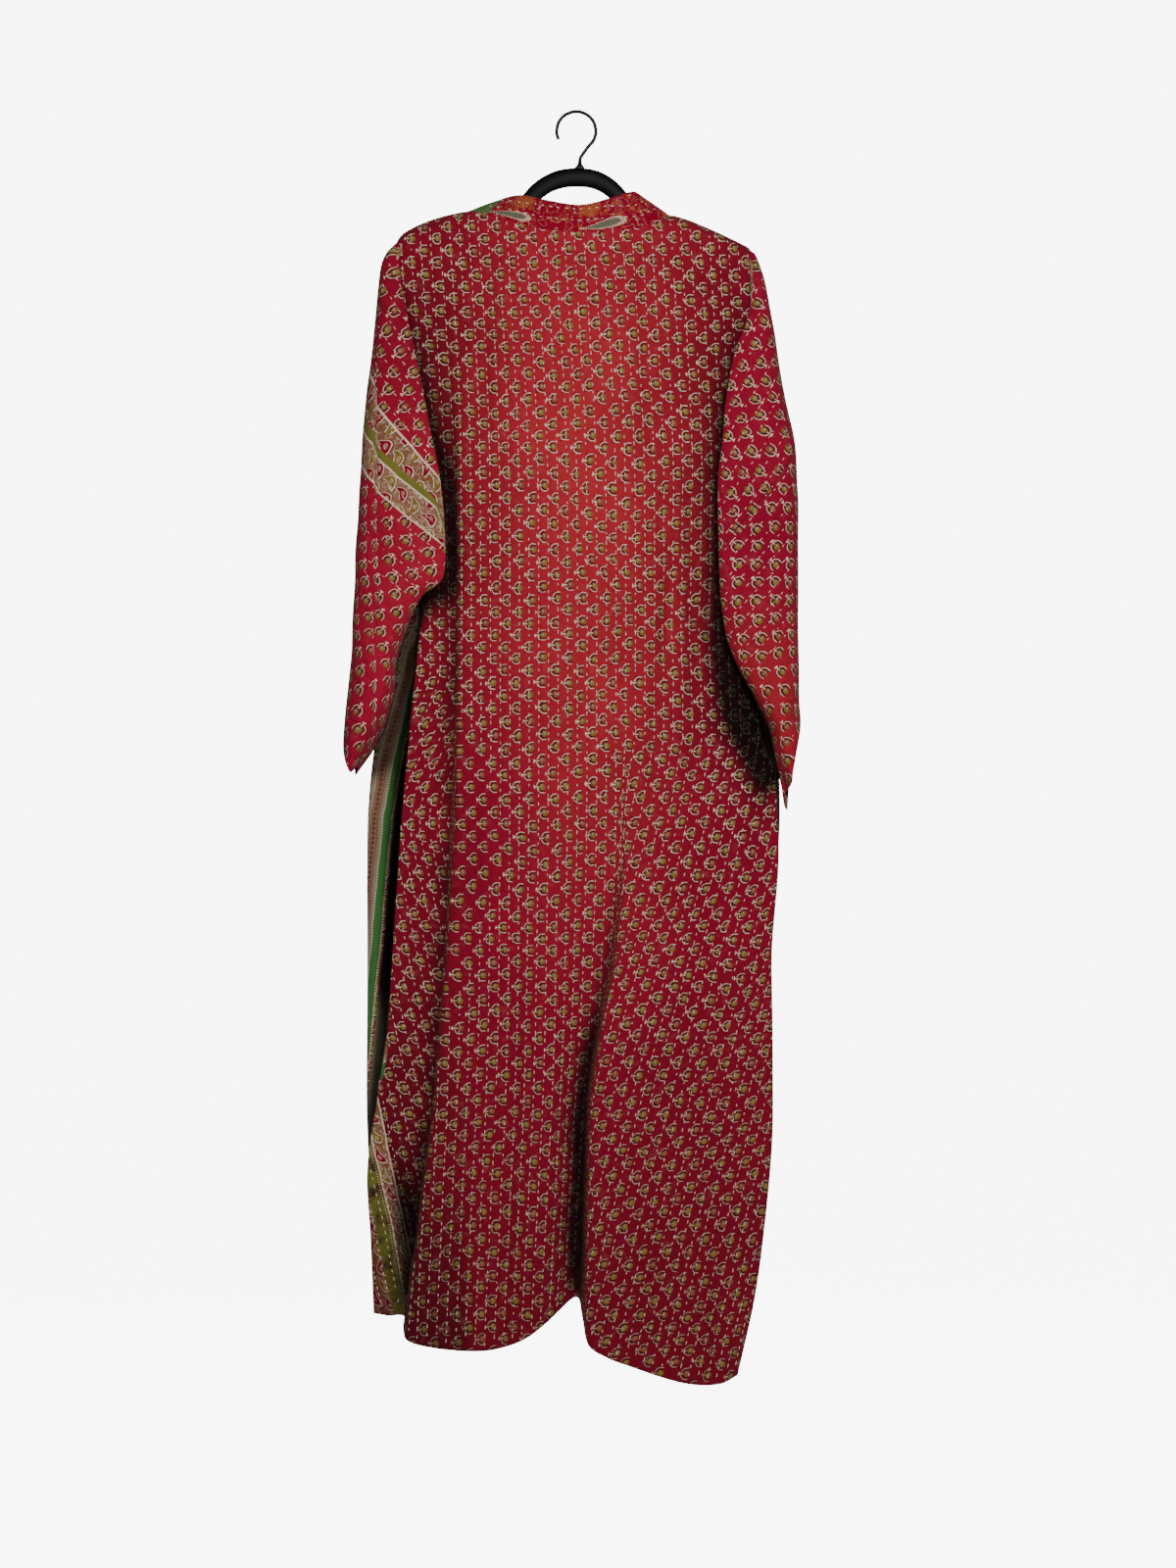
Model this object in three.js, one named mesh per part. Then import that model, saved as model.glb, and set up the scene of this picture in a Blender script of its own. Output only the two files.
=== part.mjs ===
// A long open-front robe of running-stitched cotton, hanging on a contoured hanger.
// Units are millimetres, +Z is up, and the back of the robe faces -Y.
// The origin is the inside top of the hook. A drop is a distance below it, so z = -drop.
// "across" is x, and "out" is how far a panel stands away from the hanger's plane y = 0.

import * as THREE from 'three';

// Cloth sizes
const WALL = 2;
const SEAM_GAP = 0.3;
const LEAST_LEAN = 0.6;
const SHOULDER_ROUND = 22;

// Neckband: its width, how far it leans out at the hem, and the drops between which it turns from
// standing at the neck to lying flat down the front
const BAND_WIDTH = 38;
const BAND_LEAN = 3;
const BAND_TURN = { from: 114, to: 290 };

// Rows of a panel: from the shoulder to the underarm, then from there to the hem
const UNDERARM_DROP = 537;
const ARMHOLE_ROWS = 10;
const SKIRT_ROWS = 10;
const ROW_CROWDING = 1.6;

// Columns between two guide lines of a panel, and rows across a neckband
const COLUMNS_PER_GUIDE = 2;
const BAND_STRIPS = 2;
const COLLAR_STRIPS = 3;

// Hanger sizes
const HANGER_HALF_THICKNESS = 4;
const HANGER_SIDES = 10;
const HOOK_RADIUS = 22;
const HOOK_DEGREES = [-52, -30, -5, 25, 55, 90, 125, 155, 185, 205];
const HOOK_STEPS = 24;
const WIRE_RADIUS = 2;
const WIRE_SIDES = 8;
const FERRULE_PROFILE = [
  { above: 0, radius: 6, halfThickness: 4 },
  { above: 1.5, radius: 4.6, halfThickness: 4 },
  { above: 3.5, radius: 3, halfThickness: 3 },
  { above: 7, radius: WIRE_RADIUS, halfThickness: WIRE_RADIUS },
];

// Drops at which each guide line's "across" and "out" are given
const STATIONS = [110, 360, 540, 600, 750, 930, 1075, 1125, 1300, 1415];

// Back panel: guide lines from its left edge to its right edge, as seen from behind.
const BACK_GUIDES = [
  { name: 'left edge', top: 140, hem: 1344,
    across: [-201, -184, -173, -177, -186, -199, -208, -231, -228, -223],
    out: [12, 14, 3, 6, 8, 8, 10, 24, 22, 20] },
  { name: 'border fold', top: 132.4, hem: 1347,
    across: [-192, -176, -166, -174, -190, -202, -213, -219, -209, -209],
    out: [14, 15, 10, 13, 20, 21, 22, 22, 20, 18] },
  { name: 'left groove', top: 120.8, hem: 1350,
    across: [-167, -141, -138, -138, -143, -152, -162, -166, -187, -199],
    out: [16, 13, 11, 10, 10, 10, 10, 10, 8, 8] },
  { name: 'left crest', top: 110, hem: 1374,
    across: [-121, -126, -126, -127, -130, -140, -151, -156, -177, -190],
    out: [16, 22, 24, 24, 25, 28, 30, 31, 34, 36] },
  { name: 'left hollow', top: 117, hem: 1386,
    across: [-88, -80, -80, -81, -84, -88, -91, -93, -102, -108],
    out: [17, 25, 26, 26, 24, 24, 26, 26, 26, 24] },
  { name: 'left swell', top: 129.4, hem: 1367,
    across: [-47, -33, -31, -31, -31, -33, -36, -38, -47, -53],
    out: [20, 26, 30, 30, 31, 32, 33, 34, 34, 34] },
  { name: 'main fold floor', top: 134.6, hem: 1328,
    across: [1, 22, 35, 38, 43, 34, 11, 7, 1, 0], out: [20, 26, 30, 30, 30, 16, 10, 8, 5, 4] },
  { name: 'main fold edge', top: 131, hem: 1376,
    across: [40, 50, 55, 57, 59, 47, 22, 18, 13, 13], out: [20, 26, 30, 31, 33, 35, 37, 38, 41, 43] },
  { name: 'right swell', top: 127.5, hem: 1402,
    across: [77, 82, 88, 90, 92, 85, 68, 66, 63, 63], out: [18, 25, 29, 30, 32, 34, 34, 34, 36, 38] },
  { name: 'right hollow', top: 114.5, hem: 1422,
    across: [104.5, 118, 123, 126, 130, 132, 123, 123, 123, 123],
    out: [16, 23, 24, 24, 25, 26, 28, 28, 27, 25] },
  { name: 'right crest', top: 128.8, hem: 1420,
    across: [147, 160, 166, 170, 182, 186, 178, 176, 169, 162],
    out: [16, 17, 19, 20, 27, 31, 33, 34, 36, 38] },
  { name: 'right edge', top: 150.6, hem: 1412,
    across: [193, 196, 195, 197, 212, 218, 220, 221, 204, 180],
    out: [12, 14, 3, 6, 18, 21, 22, 22, 23, 23] },
];
const NECK_LEFT_GUIDE = 3;
const PATCH_END_GUIDE = 4;
const NECK_RIGHT_GUIDE = 9;
// The rounding over the shoulder dies out over this part of the first guide space of the neckline
const NECK_FADE = 0.9;

// Neckband at the back: how far its top edge lies from the neckline, one row for each neck guide
const COLLAR_STAND = [
  { across: 35, out: 0, rise: 13 },
  { across: 28, out: -9, rise: 24 },
  { across: 9, out: -8, rise: 31 },
  { across: 0, out: -7, rise: 30 },
  { across: -7, out: -8, rise: 33 },
  { across: -17, out: -10, rise: 38 },
  { across: -30, out: 0, rise: 21 },
];

// Front panels: guide lines from the side edge to the seam of the neckband
const FRONT_LEFT_GUIDES = [
  { name: 'side edge', hem: 1344,
    across: [-201, -184, -173, -204, -233, -236, -236, -236, -231, -227],
    out: [12, 14, 4, 27, 36, 38, 38, 38, 36, 36] },
  { name: 'side fold', hem: 1346,
    across: [-192, -174, -160, -176, -202, -218, -227, -229, -214, -209],
    out: [14, 17, 14, 24, 31, 35, 37, 37, 40, 40] },
  { name: 'side hollow', hem: 1350,
    across: [-170, -142, -134, -142, -162, -172, -176, -176, -170, -165],
    out: [16, 22, 28, 35, 46, 50, 52, 52, 50, 50] },
  { name: 'front crest', hem: 1352,
    across: [-150, -114, -108, -111, -115, -120, -122, -122, -122, -120],
    out: [16, 23, 30, 32, 35, 36, 38, 38, 41, 42] },
  { name: 'front hollow', hem: 1346,
    across: [-134, -82, -76, -76, -78, -80, -82, -82, -84, -84],
    out: [16, 26, 34, 37, 42, 46, 48, 48, 52, 52] },
  { name: 'band seam', hem: 1336,
    across: [-121, -51, -46, -46, -46, -46, -46, -46, -46, -46],
    out: [15, 24, 32, 33, 36, 38, 40, 40, 42, 43] },
];
const FRONT_RIGHT_GUIDES = [
  { name: 'side edge', hem: 1400,
    across: [193, 196, 195, 208, 230, 221, 219, 218, 200, 178],
    out: [12, 14, 3, 25, 36, 38, 40, 40, 38, 38] },
  { name: 'side fold', hem: 1394,
    across: [178, 182, 182, 187, 204, 200, 197, 196, 180, 162],
    out: [14, 17, 14, 24, 31, 34, 35, 35, 34, 34] },
  { name: 'side hollow', hem: 1388,
    across: [148, 148, 146, 151, 166, 163, 160, 158, 146, 134],
    out: [16, 22, 28, 34, 44, 48, 50, 50, 52, 50] },
  { name: 'front crest', hem: 1378,
    across: [129, 116, 112, 114, 118, 118, 116, 114, 108, 100],
    out: [16, 23, 30, 32, 34, 35, 37, 38, 40, 41] },
  { name: 'front hollow', hem: 1362,
    across: [116, 82, 78, 78, 80, 80, 80, 80, 76, 72], out: [16, 26, 34, 37, 41, 45, 47, 48, 50, 52] },
  { name: 'band seam', hem: 1344,
    across: [104.5, 52, 46, 46, 46, 46, 46, 46, 45, 44], out: [15, 24, 32, 33, 36, 39, 41, 41, 44, 45] },
];

// Sleeves at the armhole: one row for each row of the panels from the third to the underarm.
// A ring is lowest at its seam and rises to the drop "high" at its outer side. "fold" and "outer" are
// distances from x = 0 of the fold on its back face and of its outer side, and "back" and "front" are
// how far its two faces stand out from y = 0.
const SLEEVE_LEFT_RINGS = [
  { high: 156, fold: 200, outer: 212.5, back: 16, front: 14 },
  { high: 172, fold: 196, outer: 219.5, back: 20, front: 17 },
  { high: 200, fold: 190, outer: 223, back: 25, front: 19 },
  { high: 235, fold: 181, outer: 226, back: 29, front: 21 },
  { high: 275, fold: 172, outer: 230, back: 33, front: 22 },
  { high: 315, fold: 163, outer: 235.5, back: 36, front: 23 },
  { high: 365, fold: 153, outer: 240, back: 39, front: 24 },
  { high: 415, fold: 147, outer: 243, back: 42, front: 24 },
  { high: 470, fold: 148, outer: 246, back: 45, front: 22 },
];
// Sleeves below the underarm: "seam" and "reach" place the tube's own seam
const SLEEVE_LEFT_TUBE = [
  { seam: 556, high: 500, reach: 184, fold: 171, outer: 247.5, back: 48, front: 18 },
  { seam: 592, high: 540, reach: 194, fold: 190, outer: 248.5, back: 50, front: 17 },
  { seam: 625, high: 572, reach: 202, fold: 200, outer: 250, back: 52, front: 17 },
  { seam: 660, high: 604, reach: 206, fold: 204, outer: 251.5, back: 52, front: 17 },
  { seam: 690, high: 632, reach: 214, fold: 212, outer: 254, back: 52, front: 17 },
  { seam: 716, high: 652, reach: 228, fold: 226, outer: 256, back: 51, front: 17 },
  { seam: 733, high: 666, reach: 240, fold: 238, outer: 258, back: 50, front: 17 },
  { seam: 743, high: 676, reach: 247.5, fold: 246, outer: 258.5, back: 49, front: 17 },
];
const SLEEVE_RIGHT_RINGS = [
  { high: 160, fold: 196.5, outer: 202, back: 16, front: 14 },
  { high: 184, fold: 196, outer: 211, back: 20, front: 17 },
  { high: 213, fold: 191, outer: 217, back: 25, front: 19 },
  { high: 246, fold: 177, outer: 223, back: 29, front: 21 },
  { high: 284, fold: 169, outer: 228.5, back: 33, front: 22 },
  { high: 325, fold: 164, outer: 236, back: 36, front: 23 },
  { high: 372, fold: 159.5, outer: 245, back: 39, front: 24 },
  { high: 423, fold: 158, outer: 248.5, back: 42, front: 24 },
  { high: 480, fold: 160, outer: 249, back: 45, front: 22 },
];
const SLEEVE_RIGHT_TUBE = [
  { seam: 568, high: 508, reach: 200, fold: 162, outer: 249, back: 48, front: 18 },
  { seam: 604, high: 540, reach: 202, fold: 167, outer: 249, back: 50, front: 17 },
  { seam: 638, high: 572, reach: 205, fold: 181, outer: 248.5, back: 52, front: 17 },
  { seam: 670, high: 600, reach: 210, fold: 197, outer: 249, back: 53, front: 17 },
  { seam: 702, high: 630, reach: 217, fold: 213, outer: 249.5, back: 53, front: 17 },
  { seam: 734, high: 652, reach: 225, fold: 221, outer: 249.5, back: 51, front: 17 },
  { seam: 760, high: 668, reach: 231, fold: 229, outer: 249, back: 50, front: 17 },
  { seam: 782, high: 682, reach: 236, fold: 234.5, outer: 249, back: 48, front: 17 },
];
// Cloth of a sleeve that laps back over the panel. It lies this far out, and bends this far past the
// seam. It laps fully where its fold lies this far inside the seam.
const LAP_OUT = 24;
const LAP_BEND = 4;
const LAP_FULL = { from: 2, to: 14 };
// Most that the fold's edge is rounded, and its share of the way from the fold to the outer side
const FOLD_ROUND = { most: 8, share: 0.25 };
// Control points between two seams of a ring are joined by this many steps
const RING_STEPS = 2;

// Hanger body: stations of its arch between the shoulders. Past the last ones its arms follow the
// underside of the cloth's shoulder line, which rests on them.
const HANGER_ARCH = [
  { across: -100, drop: 118, half: 8.5 },
  { across: -80, drop: 111, half: 8.5 },
  { across: -64, drop: 105, half: 8.5 },
  { across: -53, drop: 97, half: 9 },
  { across: -43, drop: 87, half: 9.5 },
  { across: -30, drop: 78.5, half: 10 },
  { across: -15, drop: 73.3, half: 10.5 },
  { across: 2, drop: 72, half: 10.5 },
  { across: 18, drop: 73.7, half: 10.5 },
  { across: 32, drop: 79.5, half: 10 },
  { across: 43, drop: 88, half: 9.5 },
  { across: 52, drop: 98, half: 9 },
  { across: 64, drop: 109, half: 8.5 },
  { across: 84, drop: 121, half: 8.5 },
  { across: 105, drop: 130, half: 8.5 },
];
// Each arm lies under these columns of the back panel
const LEFT_ARM_COLUMNS = [5, 4, 3, 2];
const RIGHT_ARM_COLUMNS = [19, 20, 21];
const ARM_HALF = 8;
const ARM_END_HALF = 5;
const ARM_CLEARANCE = 1.3;
const ARM_END_CLEARANCE = 3.4;
// The wire leaves the top of the arch here
const SHANK = { across: 4, lean: 0.6, rise: 4 };
const ARCH_TOP_DROP = 61.6;

// Colours, roughness and metalness
const FINISHES = {
  redCloth: { color: 0xa3222c, roughness: 0.85, metalness: 0 },
  darkRedCloth: { color: 0x96202b, roughness: 0.85, metalness: 0 },
  bandCloth: { color: 0xa52a3c, roughness: 0.85, metalness: 0 },
  patchCloth: { color: 0x4f7a4a, roughness: 0.85, metalness: 0 },
  blackPlastic: { color: 0x111213, roughness: 0.45, metalness: 0 },
  blackMetal: { color: 0x15161a, roughness: 0.35, metalness: 0.8 },
};

// Small helpers
const mix = (from, to, part) => from + (to - from) * part;
const clamp01 = (value) => Math.min(1, Math.max(0, value));

function smoothStep(from, to, value) {
  const part = clamp01((value - from) / (to - from));
  return part * part * (3 - 2 * part);
}

function hermite(start, end, startSlope, endSlope, part) {
  const square = part * part;
  const cube = square * part;
  return start * (2 * cube - 3 * square + 1) + startSlope * (cube - 2 * square + part)
    + end * (3 * square - 2 * cube) + endSlope * (cube - square);
}

// Smooth value of a table at a place, through values given at rising knots
function through(knots, values, place) {
  const last = knots.length - 1;
  const at = Math.min(knots[last], Math.max(knots[0], place));
  let index = 0;
  while (index < last - 1 && at > knots[index + 1]) {
    index += 1;
  }
  const span = knots[index + 1] - knots[index];
  const slope = (knot) => {
    const before = Math.max(0, knot - 1);
    const after = Math.min(last, knot + 1);
    return (values[after] - values[before]) / (knots[after] - knots[before]);
  };
  return hermite(values[index], values[index + 1], slope(index) * span, slope(index + 1) * span,
    (at - knots[index]) / span);
}

const counting = (values) => values.map((value, index) => index);

// Cloth walls

// Normal of a grid of points at one of its corners
function gridNormal(grid, row, column) {
  const rows = grid.length - 1;
  const columns = grid[0].length - 1;
  const down = grid[Math.min(rows, row + 1)][column].clone().sub(grid[Math.max(0, row - 1)][column]);
  const over = grid[row][Math.min(columns, column + 1)].clone().sub(grid[row][Math.max(0, column - 1)]);
  return down.cross(over).normalize();
}

// Inner points of a cloth wall. "flat" names the axes that a seam's end face must not lean along.
function innerGrid(outer, facing, flat = () => '') {
  return outer.map((line, row) => line.map((point, column) => {
    const normal = gridNormal(outer, row, column).multiplyScalar(facing);
    const kept = normal.clone();
    for (const axis of flat(row, column)) {
      kept[axis] = 0;
    }
    const lean = Math.max(LEAST_LEAN, kept.length());
    return point.clone().addScaledVector(kept.normalize(), -WALL / lean);
  }));
}

// Faces of a sheet of points, four corners at a time
function sheetQuads(rows, columns, corner, quad) {
  for (let row = 0; row < rows - 1; row += 1) {
    for (let column = 0; column < columns - 1; column += 1) {
      const [next, below] = [column + 1, row + 1];
      quad(corner(row, column), corner(below, column), corner(below, next), corner(row, next));
    }
  }
}

// Closed solid between the outer and inner points of a wall
function wallGeometry({ outer, inner }) {
  const rows = outer.length;
  const columns = outer[0].length;
  const points = [...outer.flat(), ...inner.flat()];
  const outerAt = (row, column) => row * columns + column;
  const innerAt = (row, column) => rows * columns + row * columns + column;
  const faces = [];
  const quad = (a, b, c, d) => faces.push(a, b, c, a, c, d);
  sheetQuads(rows, columns, outerAt, quad);
  sheetQuads(rows, columns, innerAt, (a, b, c, d) => quad(a, d, c, b));
  for (let row = 0; row < rows - 1; row += 1) {
    const end = columns - 1;
    quad(outerAt(row, 0), innerAt(row, 0), innerAt(row + 1, 0), outerAt(row + 1, 0));
    quad(outerAt(row, end), outerAt(row + 1, end), innerAt(row + 1, end), innerAt(row, end));
  }
  for (let column = 0; column < columns - 1; column += 1) {
    const end = rows - 1;
    quad(outerAt(0, column), outerAt(0, column + 1), innerAt(0, column + 1), innerAt(0, column));
    quad(outerAt(end, column), innerAt(end, column), innerAt(end, column + 1), outerAt(end, column + 1));
  }
  return solidGeometry(points, faces);
}

// Geometry from points and faces, turned so that its faces point out
function solidGeometry(points, faces) {
  let volume = 0;
  for (let start = 0; start < faces.length; start += 3) {
    const [a, b, c] = [points[faces[start]], points[faces[start + 1]], points[faces[start + 2]]];
    volume += a.dot(b.clone().cross(c)) / 6;
  }
  if (volume < 0) {
    faces.reverse();
  }
  const geometry = new THREE.BufferGeometry().setFromPoints(points);
  geometry.setIndex(faces);
  geometry.computeVertexNormals();
  return geometry;
}

// Panels

// Drop of a row, from the top edge through the underarm to the hem
function rowDrop(row, top, hem) {
  if (row <= ARMHOLE_ROWS) {
    return mix(top, UNDERARM_DROP, (row / ARMHOLE_ROWS) ** ROW_CROWDING);
  }
  return mix(UNDERARM_DROP, hem, (row - ARMHOLE_ROWS) / SKIRT_ROWS);
}

// How far the cloth has come round from the shoulder line to hang straight
function shoulderRound(belowTop) {
  const part = clamp01(belowTop / SHOULDER_ROUND);
  return Math.sqrt(1 - (1 - part) ** 2);
}

// Outer points of a panel. "side" is -1 for a back and 1 for a front, "topDrop" gives its top edge,
// and "overShoulder" how much of the rounding over the shoulder a place across has.
function panelGrid(guides, side, topDrop, overShoulder) {
  const order = counting(guides);
  const columns = (guides.length - 1) * COLUMNS_PER_GUIDE;
  const guided = (column, place, drop) => (
    through(order, guides.map((guide) => through(STATIONS, guide[column], drop)), place));
  const grid = [];
  for (let row = 0; row <= ARMHOLE_ROWS + SKIRT_ROWS; row += 1) {
    const line = [];
    for (let column = 0; column <= columns; column += 1) {
      const place = column / COLUMNS_PER_GUIDE;
      const top = topDrop(place);
      const hem = through(order, guides.map((guide) => guide.hem), place);
      const drop = rowDrop(row, top, hem);
      const round = mix(1, shoulderRound(drop - top), overShoulder(place));
      const out = Math.max(SEAM_GAP / 2, guided('out', place, drop) * round);
      line.push(new THREE.Vector3(guided('across', place, drop), side * out, -drop));
    }
    grid.push(line);
  }
  return grid;
}

const BACK_COLUMNS = (BACK_GUIDES.length - 1) * COLUMNS_PER_GUIDE;
const NECK_LEFT_COLUMN = NECK_LEFT_GUIDE * COLUMNS_PER_GUIDE;
const NECK_RIGHT_COLUMN = NECK_RIGHT_GUIDE * COLUMNS_PER_GUIDE;

// The back rounds over the shoulders, but not along the neckline between them
function backOverShoulder(place) {
  const fromLeft = 1 - smoothStep(NECK_LEFT_GUIDE, NECK_LEFT_GUIDE + NECK_FADE, place);
  const fromRight = smoothStep(NECK_RIGHT_GUIDE - NECK_FADE, NECK_RIGHT_GUIDE, place);
  return Math.max(fromLeft, fromRight);
}

function backFlatAxes(row, column) {
  const shoulder = row === 0 && (column <= NECK_LEFT_COLUMN || column >= NECK_RIGHT_COLUMN);
  const armhole = row <= ARMHOLE_ROWS && (column === 0 || column === BACK_COLUMNS);
  return (shoulder ? 'y' : '') + (armhole ? 'x' : '');
}

function frontFlatAxes(row, column) {
  return (row === 0 ? 'y' : '') + (row <= ARMHOLE_ROWS && column === 0 ? 'x' : '');
}

function backPanel() {
  const order = counting(BACK_GUIDES);
  const topDrop = (place) => through(order, BACK_GUIDES.map((guide) => guide.top), place);
  const outer = panelGrid(BACK_GUIDES, -1, topDrop, backOverShoulder);
  return { outer, inner: innerGrid(outer, 1, backFlatAxes) };
}

// Drop of the back's shoulder line at a place across, where a front meets it
function shoulderDrop(back, across) {
  const line = back.outer[0];
  const end = Math.max(1, line.findIndex((point) => point.x >= across));
  const part = (across - line[end - 1].x) / (line[end].x - line[end - 1].x);
  return -mix(line[end - 1].z, line[end].z, part);
}

function frontPanel(back, guides) {
  const order = counting(guides);
  const shoulder = guides.map((guide) => guide.across[0]);
  const topDrop = (place) => shoulderDrop(back, through(order, shoulder, place));
  const outer = panelGrid(guides, 1, topDrop, () => 1);
  const facing = guides[0].across[0] < 0 ? -1 : 1;
  return { outer, inner: innerGrid(outer, facing, frontFlatAxes) };
}

// Neckband

// The neckband at the back stands on the back panel's neckline, point for point
function collarWall(back) {
  const order = counting(COLLAR_STAND);
  const outer = [];
  const seamInner = [];
  for (let strip = 0; strip <= COLLAR_STRIPS; strip += 1) {
    const line = [];
    for (let column = NECK_LEFT_COLUMN; column <= NECK_RIGHT_COLUMN; column += 1) {
      const place = (column - NECK_LEFT_COLUMN) / COLUMNS_PER_GUIDE;
      const stand = new THREE.Vector3(
        through(order, COLLAR_STAND.map((row) => row.across), place),
        -through(order, COLLAR_STAND.map((row) => row.out), place),
        through(order, COLLAR_STAND.map((row) => row.rise), place),
      );
      const gap = stand.clone().setLength(SEAM_GAP);
      line.push(back.outer[0][column].clone().add(gap).addScaledVector(stand, strip / COLLAR_STRIPS));
      if (strip === 0) {
        seamInner.push(back.inner[0][column].clone().add(gap));
      }
    }
    outer.push(line);
  }
  const end = NECK_RIGHT_COLUMN - NECK_LEFT_COLUMN;
  const inner = innerGrid(outer, -1, (row, column) => (column === 0 || column === end ? 'y' : ''));
  inner[0] = seamInner;
  return { outer, inner };
}

// Part of a wall between two columns, drawn back by half a seam at a cut end
function wallPart(wall, from, to) {
  const last = wall.outer[0].length - 1;
  const cut = (grid) => grid.map((line) => line.slice(from, to + 1).map((point, index, part) => {
    const atStart = index === 0 && from > 0;
    const atEnd = index === part.length - 1 && to < last;
    if (!atStart && !atEnd) {
      return point.clone();
    }
    const neighbour = atStart ? part[1] : part[part.length - 2];
    return point.clone().add(neighbour.clone().sub(point).setLength(SEAM_GAP / 2));
  }));
  return { outer: cut(wall.outer), inner: cut(wall.inner) };
}

// A neckband down one front edge, from the shoulder to the hem
function frontBand(front, shoulderStand, towardCentre) {
  const end = front.outer[0].length - 1;
  const stands = front.outer.map((line) => {
    const hung = smoothStep(BAND_TURN.from, BAND_TURN.to, -line[end].z);
    const across = mix(shoulderStand.across, BAND_WIDTH * towardCentre, hung);
    return new THREE.Vector3(across, BAND_LEAN * hung, mix(shoulderStand.rise, 0, hung));
  });
  const outer = front.outer.map((line, row) => {
    const gap = stands[row].clone().setLength(SEAM_GAP);
    return Array.from({ length: BAND_STRIPS + 1 }, (unused, strip) => (
      line[end].clone().add(gap).addScaledVector(stands[row], strip / BAND_STRIPS)));
  });
  const inner = innerGrid(outer, -towardCentre, (row) => (row === 0 ? 'y' : ''));
  front.inner.forEach((line, row) => {
    inner[row][0] = line[end].clone().add(stands[row].clone().setLength(SEAM_GAP));
  });
  return { outer, inner };
}

// Sleeves

// Control points round a sleeve, from the back seam over the outer side to the front seam,
// as reach, y and rise, where rise 0 is at the seam's drop and 1 at the ring's highest drop
function ringPoints(ring, backSeam, frontSeam) {
  const reach = Math.abs(backSeam.x);
  const seam = -backSeam.y;
  const lap = smoothStep(LAP_FULL.from, LAP_FULL.to, reach - ring.fold);
  const round = Math.min(FOLD_ROUND.most, (ring.outer - ring.fold) * FOLD_ROUND.share);
  const plain = (part) => mix(seam, ring.back, part);
  const past = Math.max(reach + 0.8, ring.fold);
  return [
    { reach, y: -seam, rise: 0 },
    { reach: reach + mix(0.6, LAP_BEND, lap), y: -mix(plain(0.2), seam + 2.5, lap), rise: 0.04 },
    { reach: mix(past, reach + 2, lap), y: -mix(plain(0.4), mix(seam, LAP_OUT, 0.7), lap), rise: 0.09 },
    { reach: mix(reach, ring.fold, 0.55), y: -mix(plain(0.5), LAP_OUT, lap), rise: 0.15 },
    { reach: ring.fold, y: -mix(plain(0.6), mix(LAP_OUT, ring.back, 0.5), lap), rise: 0.22 },
    { reach: ring.fold + round, y: -ring.back, rise: 0.32 },
    { reach: mix(ring.fold, ring.outer, 0.55), y: -ring.back - 1.5, rise: 0.6 },
    { reach: mix(ring.fold, ring.outer, 0.88), y: -ring.back * 0.78, rise: 0.86 },
    { reach: ring.outer, y: mix(-ring.back, ring.front, 0.5), rise: 1 },
    { reach: mix(ring.outer, reach, 0.12), y: mix(-ring.back, ring.front, 0.85), rise: 1.12 },
    { reach: mix(ring.outer, reach, 0.5), y: ring.front, rise: 0.8 },
    { reach: mix(ring.outer, reach, 0.85), y: mix(ring.front, frontSeam.y, 0.3), rise: 0.3 },
    { reach: Math.abs(frontSeam.x), y: frontSeam.y, rise: 0 },
  ];
}

// One line of a sleeve's grid, smooth through a ring's control points
function ringLine(ring, backSeam, frontSeam, side) {
  const points = ringPoints(ring, backSeam, frontSeam);
  const order = counting(points);
  const steps = (points.length - 1) * RING_STEPS;
  return Array.from({ length: steps + 1 }, (unused, step) => {
    const place = step / RING_STEPS;
    const rise = through(order, points.map((point) => point.rise), place);
    return new THREE.Vector3(
      side * through(order, points.map((point) => point.reach), place),
      through(order, points.map((point) => point.y), place),
      mix(backSeam.z, -ring.high, rise),
    );
  });
}

// A sleeve hangs from the armhole, whose points it takes from the two panels, and below the
// underarm it closes into a tube along its own seam
function sleeveWall(back, backColumn, front, rings, tube, side) {
  const gap = new THREE.Vector3(side * SEAM_GAP, 0, 0);
  const backSeam = (grid, row) => grid[row][backColumn].clone().add(gap);
  const frontSeam = (grid, row) => grid[row][0].clone().add(gap);
  const armhole = rings.map((ring, index) => {
    const row = index + 2;
    return ringLine(ring, backSeam(back.outer, row), frontSeam(front.outer, row), side);
  });
  const lower = tube.map((ring) => {
    const seam = new THREE.Vector3(side * ring.reach, -SEAM_GAP / 2, -ring.seam);
    return ringLine(ring, seam, seam.clone().setY(SEAM_GAP / 2), side);
  });
  const top = shoulderLine(back, backColumn, front, side, armhole[0].length - 1);
  const outer = [top, ...armhole, ...lower];
  const end = top.length - 1;
  const flat = (row, column) => {
    if (row === 0) {
      return 'x';
    }
    return row >= ARMHOLE_ROWS && (column === 0 || column === end) ? 'y' : '';
  };
  const inner = innerGrid(outer, side, flat);
  for (let row = 1; row <= ARMHOLE_ROWS; row += 1) {
    inner[row - 1][0] = backSeam(back.inner, row);
    inner[row - 1][end] = frontSeam(front.inner, row);
  }
  return { outer, inner };
}

// Top edge of a sleeve: over the hanger's end, from the back armhole to the front one
function shoulderLine(back, backColumn, front, side, steps) {
  const start = back.outer[1][backColumn];
  const end = front.outer[1][0];
  const top = back.outer[0][backColumn];
  return Array.from({ length: steps + 1 }, (unused, step) => {
    const part = (step / steps) * 2;
    const over = part < 1 ? mix(start.y, 0, part) : mix(0, end.y, part - 1);
    const high = 1 - Math.abs(part - 1);
    const across = mix(start.x, top.x, high) + side * SEAM_GAP;
    return new THREE.Vector3(across, over, mix(start.z, top.z, high));
  });
}

// Hanger

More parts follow.
